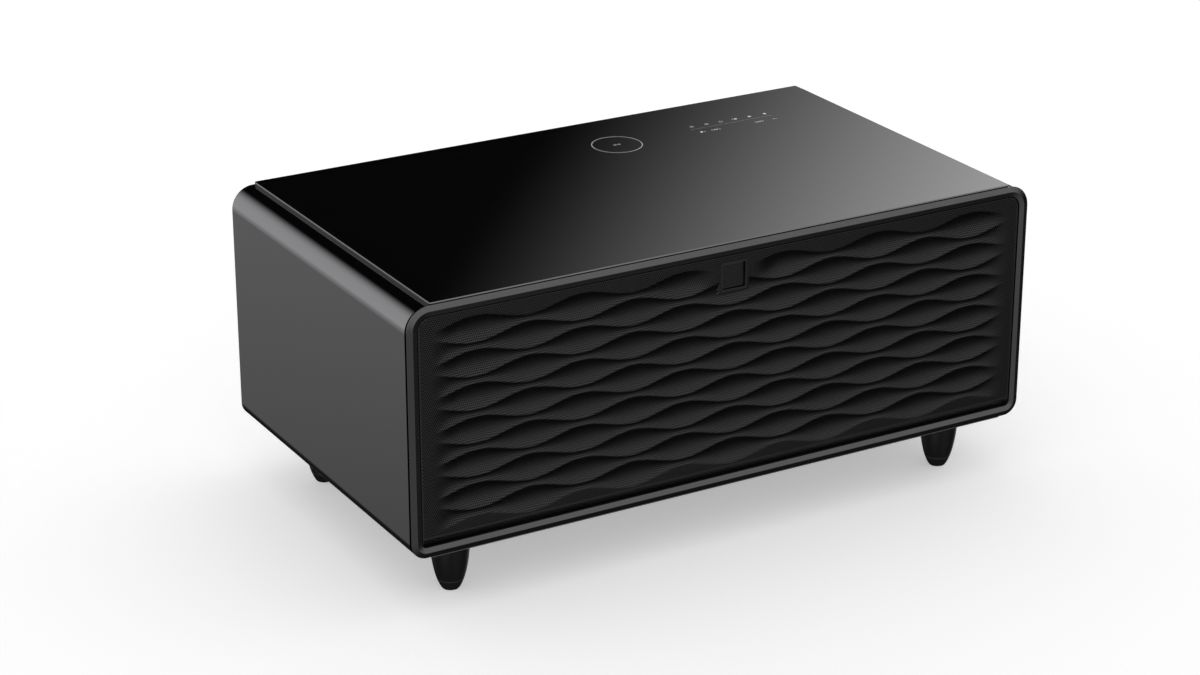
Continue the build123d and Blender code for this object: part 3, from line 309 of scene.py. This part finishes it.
# One finish for each material slot of the record
finishes = {
    "shell_metal": surface("shell_metal", (0.27, 0.27, 0.28), 0.08, 1.0, grain=0.0006, gloss=0.015),
    "bezel_metal": surface("bezel_metal", (0.33, 0.335, 0.335), 0.2, 1.0, grain=0.0005, gloss=0.03),
    "grille_metal": surface(
        "grille_metal", (0.155, 0.155, 0.155), 0.34, 1.0, grain=0.0007, bump=0.05
    ),
    "base_metal": surface(
        "base_metal", (0.5, 0.5, 0.51), 0.35, 1.0, grain=0.0004, stretch=(0.02, 1, 1)
    ),
    "zinc_steel": surface("zinc_steel", (0.56, 0.57, 0.58), 0.33, 1.0, grain=0.004, tone=0.14),
    "black_plastic": surface("black_plastic", (0.006, 0.006, 0.006), 0.6, grain=0.0008, bump=0.12),
    "pad_black": surface("pad_black", (0.02, 0.02, 0.02), 0.5, grain=0.0006, bump=0.1),
    "top_glass": glass_surface(),
    "leg_black": leg_surface("leg_black", 0.3),
    "glide_rubber": leg_surface("glide_rubber", 0.4),
    "white_plastic": surface("white_plastic", (0.78, 0.78, 0.77), 0.35, grain=0.002, tone=0.02),
    "bin_plastic": surface(
        "bin_plastic", (0.62, 0.68, 0.71), 0.12, grain=0.01, tone=0.03, alpha=0.45
    ),
    "foam": surface("foam", (0.72, 0.65, 0.45), 0.9, grain=0.0015, tone=0.2, bump=0.4),
    "aluminium_plate": surface(
        "aluminium_plate", (0.8, 0.8, 0.81), 0.35, 1.0, grain=0.0005, stretch=(0.03, 1, 1)
    ),
    "lamp_diffuser": surface("lamp_diffuser", (0.9, 0.9, 0.87), 0.5, grain=0.001, tone=0.02),
    "speaker_cone": surface("speaker_cone", (0.02, 0.02, 0.02), 0.75, grain=0.0012, bump=0.3),
    "compressor_paint": surface("compressor_paint", (0.012, 0.012, 0.012), 0.3, grain=0.003),
    "soft_rubber": surface("soft_rubber", (0.045, 0.045, 0.045), 0.65, grain=0.001, bump=0.1),
    "condenser_metal": surface("condenser_metal", (0.02, 0.02, 0.02), 0.4, grain=0.001),
    "copper_tube": surface("copper_tube", (0.75, 0.36, 0.2), 0.3, 1.0, grain=0.006, tone=0.2),
    "board_green": surface("board_green", (0.02, 0.13, 0.05), 0.4, grain=0.0012, tone=0.25),
    "coil_copper": surface("coil_copper", (0.7, 0.33, 0.16), 0.35, 1.0, grain=0.0006, tone=0.3),
    "contact_metal": surface("contact_metal", (0.8, 0.68, 0.42), 0.22, 1.0, grain=0.002),
    "magnet_grey": surface("magnet_grey", (0.3, 0.3, 0.31), 0.3, 1.0, grain=0.002),
}
for subpart in frame["record"]["subparts"]:
    node_object = frame["nodes"][subpart["node"]]
    for material_slot in node_object.material_slots:
        material_slot.material = finishes[subpart["material_slot"]]


def new_object(name, points, faces):
    """New mesh object in the scene."""
    mesh = bpy.data.meshes.new(name)
    mesh.from_pydata(points, [], faces)
    piece = bpy.data.objects.new(name, mesh)
    scene.collection.objects.link(piece)
    return piece


def side_faces(start, size):
    """Faces between a loop of points and the loop that follows it in the list."""
    return [
        [start + k, start + (k + 1) % size, start + size + (k + 1) % size, start + size + k]
        for k in range(size)
    ]


def circle_outline(centre, radius, sides):
    """Points of a circle, anticlockwise."""
    return [
        (centre[0] + radius * cos(2 * pi * k / sides), centre[1] + radius * sin(2 * pi * k / sides))
        for k in range(sides)
    ]


def rounded_outline(half_width, low, high, low_radius, high_radius, steps=CORNER_STEPS):
    """Points of an upright rectangle with rounded corners, anticlockwise from the lower right."""
    points = []
    corners = [
        (half_width, low, low_radius, -90),
        (half_width, high, high_radius, 0),
        (-half_width, high, high_radius, 90),
        (-half_width, low, low_radius, 180),
    ]
    for side_x, side_z, radius, start in corners:
        centre_x = side_x - radius if side_x > 0 else side_x + radius
        centre_z = side_z + radius if side_z == low else side_z - radius
        for step in range(steps + 1):
            angle = radians(start + 90 * step / steps)
            points.append((centre_x + radius * cos(angle), centre_z + radius * sin(angle)))
    return points


def window_around(x, z, width, height):
    """Left, right, low and high side of a rectangle round a point."""
    return x - width / 2, x + width / 2, z - height / 2, z + height / 2


def window_loop(window):
    """Corners of a window, clockwise."""
    left, right, low, high = window
    return [(left, low), (left, high), (right, high), (right, low)]


def ridge_height(ridge, x):
    """Height of one ridge line at x. Neighbouring ridges swing opposite ways."""
    swing = WAVE_AMPLITUDE * np.cos(2 * pi * (x / WAVE_PERIOD - WAVE_PHASE))
    return FIRST_RIDGE - ridge * ROW_PITCH + (swing if ridge % 2 == 0 else -swing)


def smooth_share(distance, length):
    """Share that rises smoothly from 0 to 1 as the distance goes from 0 to the length."""
    share = np.clip(distance / length, 0, 1)
    return share * share * (3 - 2 * share)


def grille_face(x, z):
    """Depth of the grille's face behind the front, at each x and z."""
    depth = np.full_like(x, FACE_DEPTH)
    widest = ROW_PITCH + 2 * WAVE_AMPLITUDE - RIDGE_LAND
    for row in range(WAVE_ROWS):
        upper = ridge_height(row, x) - RIDGE_LAND / 2
        chord = upper - ridge_height(row + 1, x) - RIDGE_LAND / 2
        end = smooth_share(VALLEY_END - np.abs(x), VALLEY_FADE)
        if row == 0:
            end = np.minimum(end, smooth_share(np.abs(x) - BOSS_END, VALLEY_FADE))
        sag = np.maximum(VALLEY_DEPTH * end * chord / widest, LEAST_SAG)
        radius = (chord * chord / 4 + sag * sag) / (2 * sag)
        offset = z - upper + chord / 2
        hollow = np.sqrt(np.maximum(radius * radius - offset * offset, 0)) - (radius - sag)
        depth += np.where(np.abs(offset) < chord / 2, hollow, 0)
    on_boss = (np.abs(x) < BOSS_HALF) & (np.abs(z - PAD_HEIGHT) < BOSS_HALF)
    depth = np.where(on_boss, FACE_DEPTH, depth)
    return depth + FOLD_SLOPE * np.maximum(FOLD_LINE - z, 0)


def pad_face(x, z):
    """Depth of the push pad's flat face behind the front, at each x and z."""
    return np.full_like(x, PAD_DEPTH)


def clip(polygon, point, normal):
    """Part of a polygon on the side of a line that the normal points to."""
    kept = []
    for here, there in zip(polygon, polygon[1:] + polygon[:1]):
        gap_here = (here[0] - point[0]) * normal[0] + (here[1] - point[1]) * normal[1]
        gap_there = (there[0] - point[0]) * normal[0] + (there[1] - point[1]) * normal[1]
        if gap_here >= 0:
            kept.append(here)
        if (gap_here > 0) != (gap_there > 0) and gap_here != gap_there:
            share = gap_here / (gap_here - gap_there)
            kept.append(
                (here[0] + share * (there[0] - here[0]), here[1] + share * (there[1] - here[1]))
            )
    return kept


def with_area(polygons):
    """The polygons that clipping has left with three corners or more."""
    return [polygon for polygon in polygons if len(polygon) > 2]


def inward_edges(outline):
    """A point and the inward normal of each edge of an anticlockwise outline."""
    return [
        (a, (a[1] - b[1], b[0] - a[0])) for a, b in zip(outline, outline[1:] + outline[:1])
    ]


def around_window(polygon, window):
    """Parts of a polygon outside a window: left of it, right of it, below it and above it."""
    left, right, low, high = window
    middle = clip(clip(polygon, (left, 0), (1, 0)), (right, 0), (-1, 0))
    return [
        clip(polygon, (left, 0), (-1, 0)),
        clip(polygon, (right, 0), (1, 0)),
        clip(middle, (0, low), (0, -1)),
        clip(middle, (0, high), (0, 1)),
    ]


def hexagon_cells(outline, windows, fold_heights):
    """Corners of the cells that get a hole, and the polygons that are left of the cut cells."""
    edges = inward_edges(outline)
    lowest_row = int((min(z for x, z in outline) - PAD_HEIGHT) / HOLE_ROW) - SPARE_CELLS
    highest_row = int((max(z for x, z in outline) - PAD_HEIGHT) / HOLE_ROW) + SPARE_CELLS
    last_column = int(max(x for x, z in outline) / HOLE_PITCH) + SPARE_CELLS
    rows = np.arange(lowest_row, highest_row + 1)
    columns = np.arange(-last_column, last_column + 1)
    column_grid, row_grid = np.meshgrid(columns, rows)
    across = (2 * column_grid + row_grid % 2).ravel()
    upward = 3 * row_grid.ravel()
    corner_across = across[:, None] + np.array(CELL_ACROSS)
    corner_upward = upward[:, None] + np.array(CELL_UPWARD)
    corner_x = corner_across * HOLE_PITCH / 2
    corner_z = corner_upward * HOLE_ROW / 3 + PAD_HEIGHT
    within = np.ones(corner_x.shape, bool)
    for (edge_x, edge_z), (normal_x, normal_z) in edges:
        within &= (corner_x - edge_x) * normal_x + (corner_z - edge_z) * normal_z >= 0
    whole = within.all(axis=1)
    cell_left, cell_right = corner_x.min(axis=1), corner_x.max(axis=1)
    cell_low, cell_high = corner_z.min(axis=1), corner_z.max(axis=1)
    for left, right, low, high in windows:
        whole &= (cell_right < left) | (cell_left > right) | (cell_high < low) | (cell_low > high)
    for height in fold_heights:
        whole &= (cell_high <= height) | (cell_low >= height)
    cut = []
    for cell in np.flatnonzero(~whole & within.any(axis=1)):
        parts = [list(zip(corner_x[cell], corner_z[cell]))]
        for point, normal in edges:
            parts = [clip(part, point, normal) for part in parts]
        for window in windows:
            parts = [piece for part in with_area(parts) for piece in around_window(part, window)]
        for height in fold_heights:
            parts = [
                clip(part, (0, height), (0, side)) for part in with_area(parts) for side in (1, -1)
            ]
        cut += with_area(parts)
    return corner_across[whole], corner_upward[whole], cut


def perforated_cells(corners, face, thickness):
    """Points and faces of cells with a round hole and its wall, and the span of the rims' points."""
    corner_across, corner_upward = corners
    count = len(corner_across)
    keys = corner_across * KEY_STEP + corner_upward
    unique_keys, corner_ids = np.unique(keys, return_inverse=True)
    corner_ids = corner_ids.reshape(keys.shape)
    key_upward = (unique_keys + KEY_STEP // 2) % KEY_STEP - KEY_STEP // 2
    key_across = (unique_keys - key_upward) // KEY_STEP
    flat_x = key_across * HOLE_PITCH / 2
    flat_z = key_upward * HOLE_ROW / 3 + PAD_HEIGHT
    centre_x = (corner_across[:, 0] - CELL_ACROSS[0]) * HOLE_PITCH / 2
    centre_z = (corner_upward[:, 0] - CELL_UPWARD[0]) * HOLE_ROW / 3 + PAD_HEIGHT
    turns = np.arange(HOLE_SIDES) * pi / CELL_SIDES
    rim_x = (centre_x[:, None] + HOLE_RADIUS * np.cos(turns)).ravel()
    rim_z = (centre_z[:, None] + HOLE_RADIUS * np.sin(turns)).ravel()
    all_x = np.concatenate([flat_x, rim_x])
    all_z = np.concatenate([flat_z, rim_z])
    face_y = FRONT + face(all_x, all_z)
    front_points = np.stack([all_x, face_y, all_z], 1)
    back_points = np.stack([rim_x, face_y[len(flat_x):] + thickness, rim_z], 1)
    rim = len(flat_x) + np.arange(count * HOLE_SIDES).reshape(count, HOLE_SIDES)
    back = rim + count * HOLE_SIDES
    triangles = []
    for corner in range(CELL_SIDES):
        this, after = corner_ids[:, corner], corner_ids[:, (corner + 1) % CELL_SIDES]
        first, second, third = [rim[:, (2 * corner + 1 + step) % HOLE_SIDES] for step in range(3)]
        triangles += [
            np.stack([this, after, second], 1),
            np.stack([this, second, first], 1),
            np.stack([after, third, second], 1),
        ]
    faces = np.concatenate(triangles).tolist()
    for step in range(HOLE_SIDES):
        following = (step + 1) % HOLE_SIDES
        wall = [rim[:, step], rim[:, following], back[:, following], back[:, step]]
        faces += np.stack(wall, 1).tolist()
    rim_span = (len(flat_x), len(flat_x) + count * HOLE_SIDES)
    return np.concatenate([front_points, back_points]).tolist(), faces, rim_span


def sheet_object(name, corners, cut, walls, face, thickness):
    """Perforated sheet: cells with their holes, plain cut cells, and walls along its edges."""
    points, faces, rim_span = perforated_cells(corners, face, thickness)
    for part in cut:
        start = len(points)
        part_x, part_z = np.array(part).T
        part_y = FRONT + face(part_x, part_z)
        points += np.stack([part_x, part_y, part_z], 1).tolist()
        faces.append(list(range(start, start + len(part))))
    for loop, wall_end in walls:
        start = len(points)
        loop_x, loop_z = np.array(loop).T
        loop_y = FRONT + face(loop_x, loop_z)
        end_y = loop_y + thickness if wall_end is None else np.full_like(loop_y, FRONT + wall_end)
        points += np.stack([loop_x, loop_y, loop_z], 1).tolist()
        points += np.stack([loop_x, end_y, loop_z], 1).tolist()
        faces += side_faces(start, len(loop))
    piece = new_object(name, points, faces)
    mesh = piece.data
    mesh.shade_smooth()
    ends = np.empty(len(mesh.edges) * 2, np.int32)
    mesh.edges.foreach_get("vertices", ends)
    on_rim = ((ends >= rim_span[0]) & (ends < rim_span[1])).reshape(-1, 2).all(axis=1)
    sharp = mesh.attributes.new("sharp_edge", "BOOLEAN", "EDGE")
    sharp.data.foreach_set("value", on_rim)
    return piece


def upright_prism(name, outline, near, far):
    """Closed block between two depths, with the given outline."""
    size = len(outline)
    near_points = [(x, FRONT + near, z) for x, z in outline]
    far_points = [(x, FRONT + far, z) for x, z in outline]
    ends = [tuple(range(size)), tuple(range(2 * size - 1, size - 1, -1))]
    sides = [(k, size + k, size + (k + 1) % size, (k + 1) % size) for k in range(size)]
    return new_object(name, near_points + far_points, ends + sides)


# Grille: the perforated, pressed sheet, cut into upright strips so that no piece grows too large
strip_width = 2 * GRILLE_HALF_WIDTH / GRILLE_PIECES


def strip_number(x):
    """Number of the upright strip that holds x."""
    return np.clip((x + GRILLE_HALF_WIDTH) // strip_width, 0, GRILLE_PIECES - 1)


slot_windows = [
    window_around(
        (number - (FOLD_SLOTS - 1) / 2) * FOLD_SLOT_PITCH,
        FOLD_LINE - FOLD_SLOT_HEIGHT,
        FOLD_SLOT_WIDTH,
        FOLD_SLOT_HEIGHT,
    )
    for number in range(FOLD_SLOTS)
]
windows = [window_around(0, PAD_HEIGHT, PAD_OPENING, PAD_OPENING)] + slot_windows
grille_outline = rounded_outline(
    GRILLE_HALF_WIDTH, GRILLE_LOW, GRILLE_HIGH, GRILLE_LOW_RADIUS, GRILLE_HIGH_RADIUS
)
across, upward, cut_cells = hexagon_cells(grille_outline, windows, [FOLD_LINE])
cell_strip = strip_number((across[:, 0] - CELL_ACROSS[0]) * HOLE_PITCH / 2)
cut_strip = [strip_number(np.mean([x for x, z in part])) for part in cut_cells]

# The rim's wall has a point more on each side, where the sheet folds
corner_points = CORNER_STEPS + 1
rim_loop = list(grille_outline)
rim_loop.insert(corner_points, (GRILLE_HALF_WIDTH, FOLD_LINE))
rim_loop.insert(len(rim_loop) - corner_points, (-GRILLE_HALF_WIDTH, FOLD_LINE))
rim_walls = [(rim_loop[::-1], CARRIER_DEPTH)] + [(window_loop(w), None) for w in windows]
for strip in range(GRILLE_PIECES):
    chosen = cell_strip == strip
    grille_strip = sheet_object(
        f"grille_strip_{strip + 1}",
        (across[chosen], upward[chosen]),
        [part for part, place in zip(cut_cells, cut_strip) if place == strip],
        rim_walls if strip == 0 else [],
        grille_face,
        SHEET,
    )
    grille_strip.data.materials.append(finishes["grille_metal"])
    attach(grille_strip, "drawer")
    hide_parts("grille")

# Push pad: the same perforated sheet on a dark block with its stem
pad_outline = rounded_outline(
    PAD_HALF, PAD_HEIGHT - PAD_HALF, PAD_HEIGHT + PAD_HALF, PAD_CORNER, PAD_CORNER, PAD_CORNER_STEPS
)
pad_across, pad_upward, pad_cut = hexagon_cells(pad_outline, [], [])
pad_walls = [(pad_outline[::-1], PAD_BACK)]
pad_sheet = sheet_object(
    "pad_sheet", (pad_across, pad_upward), pad_cut, pad_walls, pad_face, PAD_SHEET
)
pad_sheet.data.materials.append(finishes["grille_metal"])
pad_block = upright_prism("pad_block", pad_outline, PAD_DEPTH + PAD_SHEET, PAD_BACK)
stem_outline = circle_outline((0, PAD_HEIGHT), STEM_RADIUS, STEM_SIDES)
pad_stem = upright_prism("pad_stem", stem_outline, PAD_BACK, STEM_END)
for pad_piece in (pad_block, pad_stem):
    pad_piece.data.materials.append(finishes["pad_black"])
for pad_piece in (pad_sheet, pad_block, pad_stem):
    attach(pad_piece, "push_pad")
    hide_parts("push_pad")


def spring_object(name):
    """Helix of round wire between the pad and its seat."""
    length = SPRING_SEAT - SPRING_GAP - SPRING_START
    steps = SPRING_TURNS * SPRING_STEPS
    points, faces = [], []
    for step in range(steps + 1):
        turn = 2 * pi * step / SPRING_STEPS
        for side in range(SPRING_SIDES):
            angle = 2 * pi * side / SPRING_SIDES
            reach = SPRING_RADIUS + SPRING_WIRE_RADIUS * cos(angle)
            along = SPRING_START + length * step / steps + SPRING_WIRE_RADIUS * sin(angle)
            points.append((reach * cos(turn), FRONT + along, PAD_HEIGHT + reach * sin(turn)))
    for step in range(steps):
        faces += side_faces(step * SPRING_SIDES, SPRING_SIDES)
    faces.append(list(reversed(range(SPRING_SIDES))))
    faces.append(list(range(steps * SPRING_SIDES, (steps + 1) * SPRING_SIDES)))
    spring = new_object(name, points, faces)
    spring.data.shade_smooth()
    return spring


# Return spring of the pad
return_spring = spring_object("return_spring")
return_spring.data.materials.append(finishes["zinc_steel"])
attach(return_spring, "drawer")
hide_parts("pad_spring")
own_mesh(return_spring)

# Acoustic cloth over the two sound openings of the drawer carrier
cloth_finish = surface(
    "acoustic_cloth", (0.006, 0.006, 0.006), 0.9, grain=0.0008, tone=0.3, bump=0.3
)
for side, side_name in ((-1, "left"), (1, "right")):
    cloth_outline = circle_outline(
        (side * SPEAKER_ACROSS, SPEAKER_HEIGHT), CLOTH_RADIUS, CLOTH_SIDES
    )
    cloth = upright_prism(
        f"acoustic_cloth_{side_name}", cloth_outline, CLOTH_DEPTH, CLOTH_DEPTH + CLOTH_THICKNESS
    )
    cloth.data.materials.append(cloth_finish)
    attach(cloth, "drawer")


# Printed marks. Each function gives the outlines of its closed strokes.
def bar(start, end, width=PRINT_LINE):
    """Straight printed stroke."""
    along = Vector(end) - Vector(start)
    aside = Vector((-along.y, along.x)).normalized() * width / 2
    return [
        [Vector(start) - aside, Vector(end) - aside, Vector(end) + aside, Vector(start) + aside]
    ]


def arc(centre, radius, width=PRINT_LINE, start=0, end=360, steps=48):
    """Printed ring, or a part of one, as short closed strokes."""
    shapes = []
    for step in range(steps):
        near, far = [radians(start + (end - start) * (step + k) / steps) for k in (0, 1)]
        inner, outer = radius - width / 2, radius + width / 2
        shapes.append(
            [
                Vector((centre[0] + r * cos(angle), centre[1] + r * sin(angle)))
                for r, angle in ((inner, near), (outer, near), (outer, far), (inner, far))
            ]
        )
    return shapes


def dot(centre, radius):
    """Printed disc."""
    return [[Vector(point) for point in circle_outline(centre, radius, DOT_SIDES)]]


def snowflake(x, y):
    """Three crossed strokes."""
    arm = 0.0032
    shapes = []
    for turn in (30, 90, 150):
        reach = Vector((cos(radians(turn)), sin(radians(turn)))) * arm
        shapes += bar(Vector((x, y)) - reach, Vector((x, y)) + reach)
    return shapes


def three_bars(x, y):
    """Three upright strokes side by side."""
    spacing, half, width = 0.002, 0.002, 0.0009
    shapes = []
    for step in (-1, 0, 1):
        shapes += bar((x + step * spacing, y - half), (x + step * spacing, y + half), width)
    return shapes


def power_sign(x, y):
    """Open ring with a stroke in its gap."""
    radius, low, high = 0.0026, 0.0008, 0.0036
    ring = arc((x, y), radius, start=130, end=410, steps=24)
    return ring + bar((x, y + low), (x, y + high))


def lamp_sign(x, y):
    """Disc with two strokes of light beside it."""
    offset, radius, reach, end, half = 0.0018, 0.0022, 0.0042, 0.0015, 0.001
    shapes = dot((x + offset, y), radius)
    for row in (y - half, y + half):
        shapes += bar((x - reach, row), (x - end, row))
    return shapes


def lock_sign(x, y):
    """Block with a shackle over it."""
    half, drop, height, lift, radius = 0.0024, 0.001, 0.003, 0.0006, 0.0016
    block = bar((x - half, y - drop), (x + half, y - drop), height)
    return block + arc((x, y + lift), radius, start=0, end=180, steps=12)


def drop_sign(x, y):
    """Round drop."""
    radius = 0.0023
    return dot((x, y), radius)


def value_window(x, y):
    """Small read-out between round brackets."""
    offset, radius, line = 0.003, 0.0034, 0.0005
    spacing, half, width = 0.0018, 0.0017, 0.0008
    shapes = arc((x - offset, y), radius, line, start=120, end=240, steps=10)
    shapes += arc((x + offset, y), radius, line, start=-60, end=60, steps=10)
    for step in (-1.5, -0.5, 0.5, 1.5):
        shapes += bar((x + step * spacing, y - half), (x + step * spacing, y + half), width)
    return shapes


def charging_ring(x, y):
    """Ring of the charging place, with two linked rings in its middle."""
    shapes = arc((x, y), RING_RADIUS, RING_LINE, steps=RING_STEPS)
    for side in (-1, 1):
        shapes += arc((x + side * LINK_HALF, y), LINK_RADIUS, steps=20)
    return shapes + bar((x - LINK_BAR_HALF, y), (x + LINK_BAR_HALF, y))


def printed_object(name, shapes, colour):
    """Thin closed prints on the glass."""
    points, faces = [], []
    for shape in shapes:
        start, size = len(points), len(shape)
        points += [(p.x, p.y, GLASS_TOP) for p in shape]
        points += [(p.x, p.y, GLASS_TOP + PRINT_HEIGHT) for p in shape]
        faces.append([start + size + k for k in range(size)])
        faces.append([start + k for k in reversed(range(size))])
        faces += side_faces(start, size)
    print_object = new_object(name, points, faces)
    print_object.data.materials.append(surface(name, colour, 0.5, grain=0.001, tone=0.03))
    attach(print_object, "cabinet")


touch_marks = charging_ring(*RING_PLACE)
signs = [snowflake, three_bars, power_sign, lamp_sign, lock_sign, drop_sign]
for sign, sign_x in zip(signs, ICON_PLACES):
    touch_marks += sign(sign_x, ICON_ROW)
for value_x in VALUE_PLACES:
    touch_marks += value_window(value_x, VALUE_ROW)
touch_marks += dot((SMALL_DOT_PLACE, VALUE_ROW), SMALL_DOT_RADIUS)
dash_place = VALUE_ROW - DASH_WIDTH
touch_marks += bar((DASH_ENDS[0], dash_place), (DASH_ENDS[1], dash_place), DASH_WIDTH)
touch_marks += bar((MINUS_ENDS[0], VALUE_ROW), (MINUS_ENDS[1], VALUE_ROW), MINUS_WIDTH)
printed_object("touch_marks", touch_marks, MARK_COLOUR)
touch_line = bar((LINE_ENDS[0], LINE_PLACE), (LINE_ENDS[1], LINE_PLACE))
printed_object("touch_line", touch_line, LINE_COLOUR)

# Floor
floor_corners = [(-1, -1), (1, -1), (1, 1), (-1, 1)]
floor = new_object(
    "floor", [(x * FLOOR_HALF, y * FLOOR_HALF, 0) for x, y in floor_corners], [(0, 1, 2, 3)]
)
floor_material = surface("pale_floor", FLOOR_COLOUR, 0.9, grain=0.5, tone=0.004, bump=0)
floor_shader = floor_material.node_tree.nodes["Principled BSDF"]
floor_shader.inputs["Specular IOR Level"].default_value = 0.0
floor_shader.inputs["Emission Color"].default_value = (1, 1, 1, 1)
floor_shader.inputs["Emission Strength"].default_value = FLOOR_GLOW
floor.data.materials.append(floor_material)
floor.visible_glossy = False
floor.visible_diffuse = False

# World: soft studio panels that only reflections see, and an even light for everything else
world = bpy.data.worlds.new("studio")
scene.world = world
world.use_nodes = True
world.cycles.sampling_method = "NONE"
world_tree = world.node_tree
world_tree.nodes.clear()
direction = add_node(world_tree, "ShaderNodeTexCoord").outputs["Generated"]


def panel_sum(panels, base):
    """Sum of soft round panels around the given directions, as one shader value."""
    total = None
    for azimuth, elevation, inner, outer, strength in panels:
        aim = add_node(world_tree, "ShaderNodeVectorMath")
        aim.operation = "DOT_PRODUCT"
        aim.inputs[1].default_value = (
            sin(radians(azimuth)) * cos(radians(elevation)),
            cos(radians(azimuth)) * cos(radians(elevation)),
            sin(radians(elevation)),
        )
        fall = add_node(
            world_tree,
            "ShaderNodeMapRange",
            from_min=cos(radians(outer)),
            from_max=cos(radians(inner)),
            to_max=strength,
        )
        fall.interpolation_type = "SMOOTHSTEP"
        join = add_node(world_tree, "ShaderNodeMath")
        join.operation = "ADD"
        world_tree.links.new(direction, aim.inputs[0])
        world_tree.links.new(aim.outputs["Value"], fall.inputs["Value"])
        world_tree.links.new(fall.outputs["Result"], join.inputs[0])
        if total is None:
            join.inputs[1].default_value = base
        else:
            world_tree.links.new(total, join.inputs[1])
        total = join.outputs[0]
    return total


def mix_values(factor, low, high):
    """Value that goes from low to high with the factor. Each may be a number or a socket."""
    mix = add_node(world_tree, "ShaderNodeMix")
    for name, value in (("Factor", factor), ("A", low), ("B", high)):
        if isinstance(value, bpy.types.NodeSocket):
            world_tree.links.new(value, mix.inputs[name])
        else:
            mix.inputs[name].default_value = value
    return mix.outputs["Result"]


height = add_node(world_tree, "ShaderNodeSeparateXYZ")
above = add_node(world_tree, "ShaderNodeMapRange", from_min=GROUND_END, from_max=SKY_START)
above.interpolation_type = "SMOOTHSTEP"
world_tree.links.new(direction, height.inputs[0])
world_tree.links.new(height.outputs["Z"], above.inputs["Value"])
reflected = mix_values(
    above.outputs["Result"],
    panel_sum(GROUND_PANELS, GROUND_BASE),
    panel_sum(PANELS, SKY_BASE),
)
rays = add_node(world_tree, "ShaderNodeLightPath")
seen = mix_values(rays.outputs["Is Glossy Ray"], AMBIENT, reflected)
shown = mix_values(rays.outputs["Is Camera Ray"], seen, BACKDROP)
background = add_node(world_tree, "ShaderNodeBackground")
output = add_node(world_tree, "ShaderNodeOutputWorld")
world_tree.links.new(shown, background.inputs["Strength"])
world_tree.links.new(background.outputs["Background"], output.inputs["Surface"])

# Camera
camera_data = bpy.data.cameras.new("camera")
camera_data.lens = LENS
camera_data.sensor_width = SENSOR
camera_data.clip_end = VIEW_LIMIT
camera = bpy.data.objects.new("camera", camera_data)
camera.location = CAMERA_PLACE
camera.rotation_euler = Vector(CAMERA_AIM).to_track_quat("-Z", "Y").to_euler()
scene.collection.objects.link(camera)
scene.camera = camera
scene.view_settings.view_transform = "Standard"
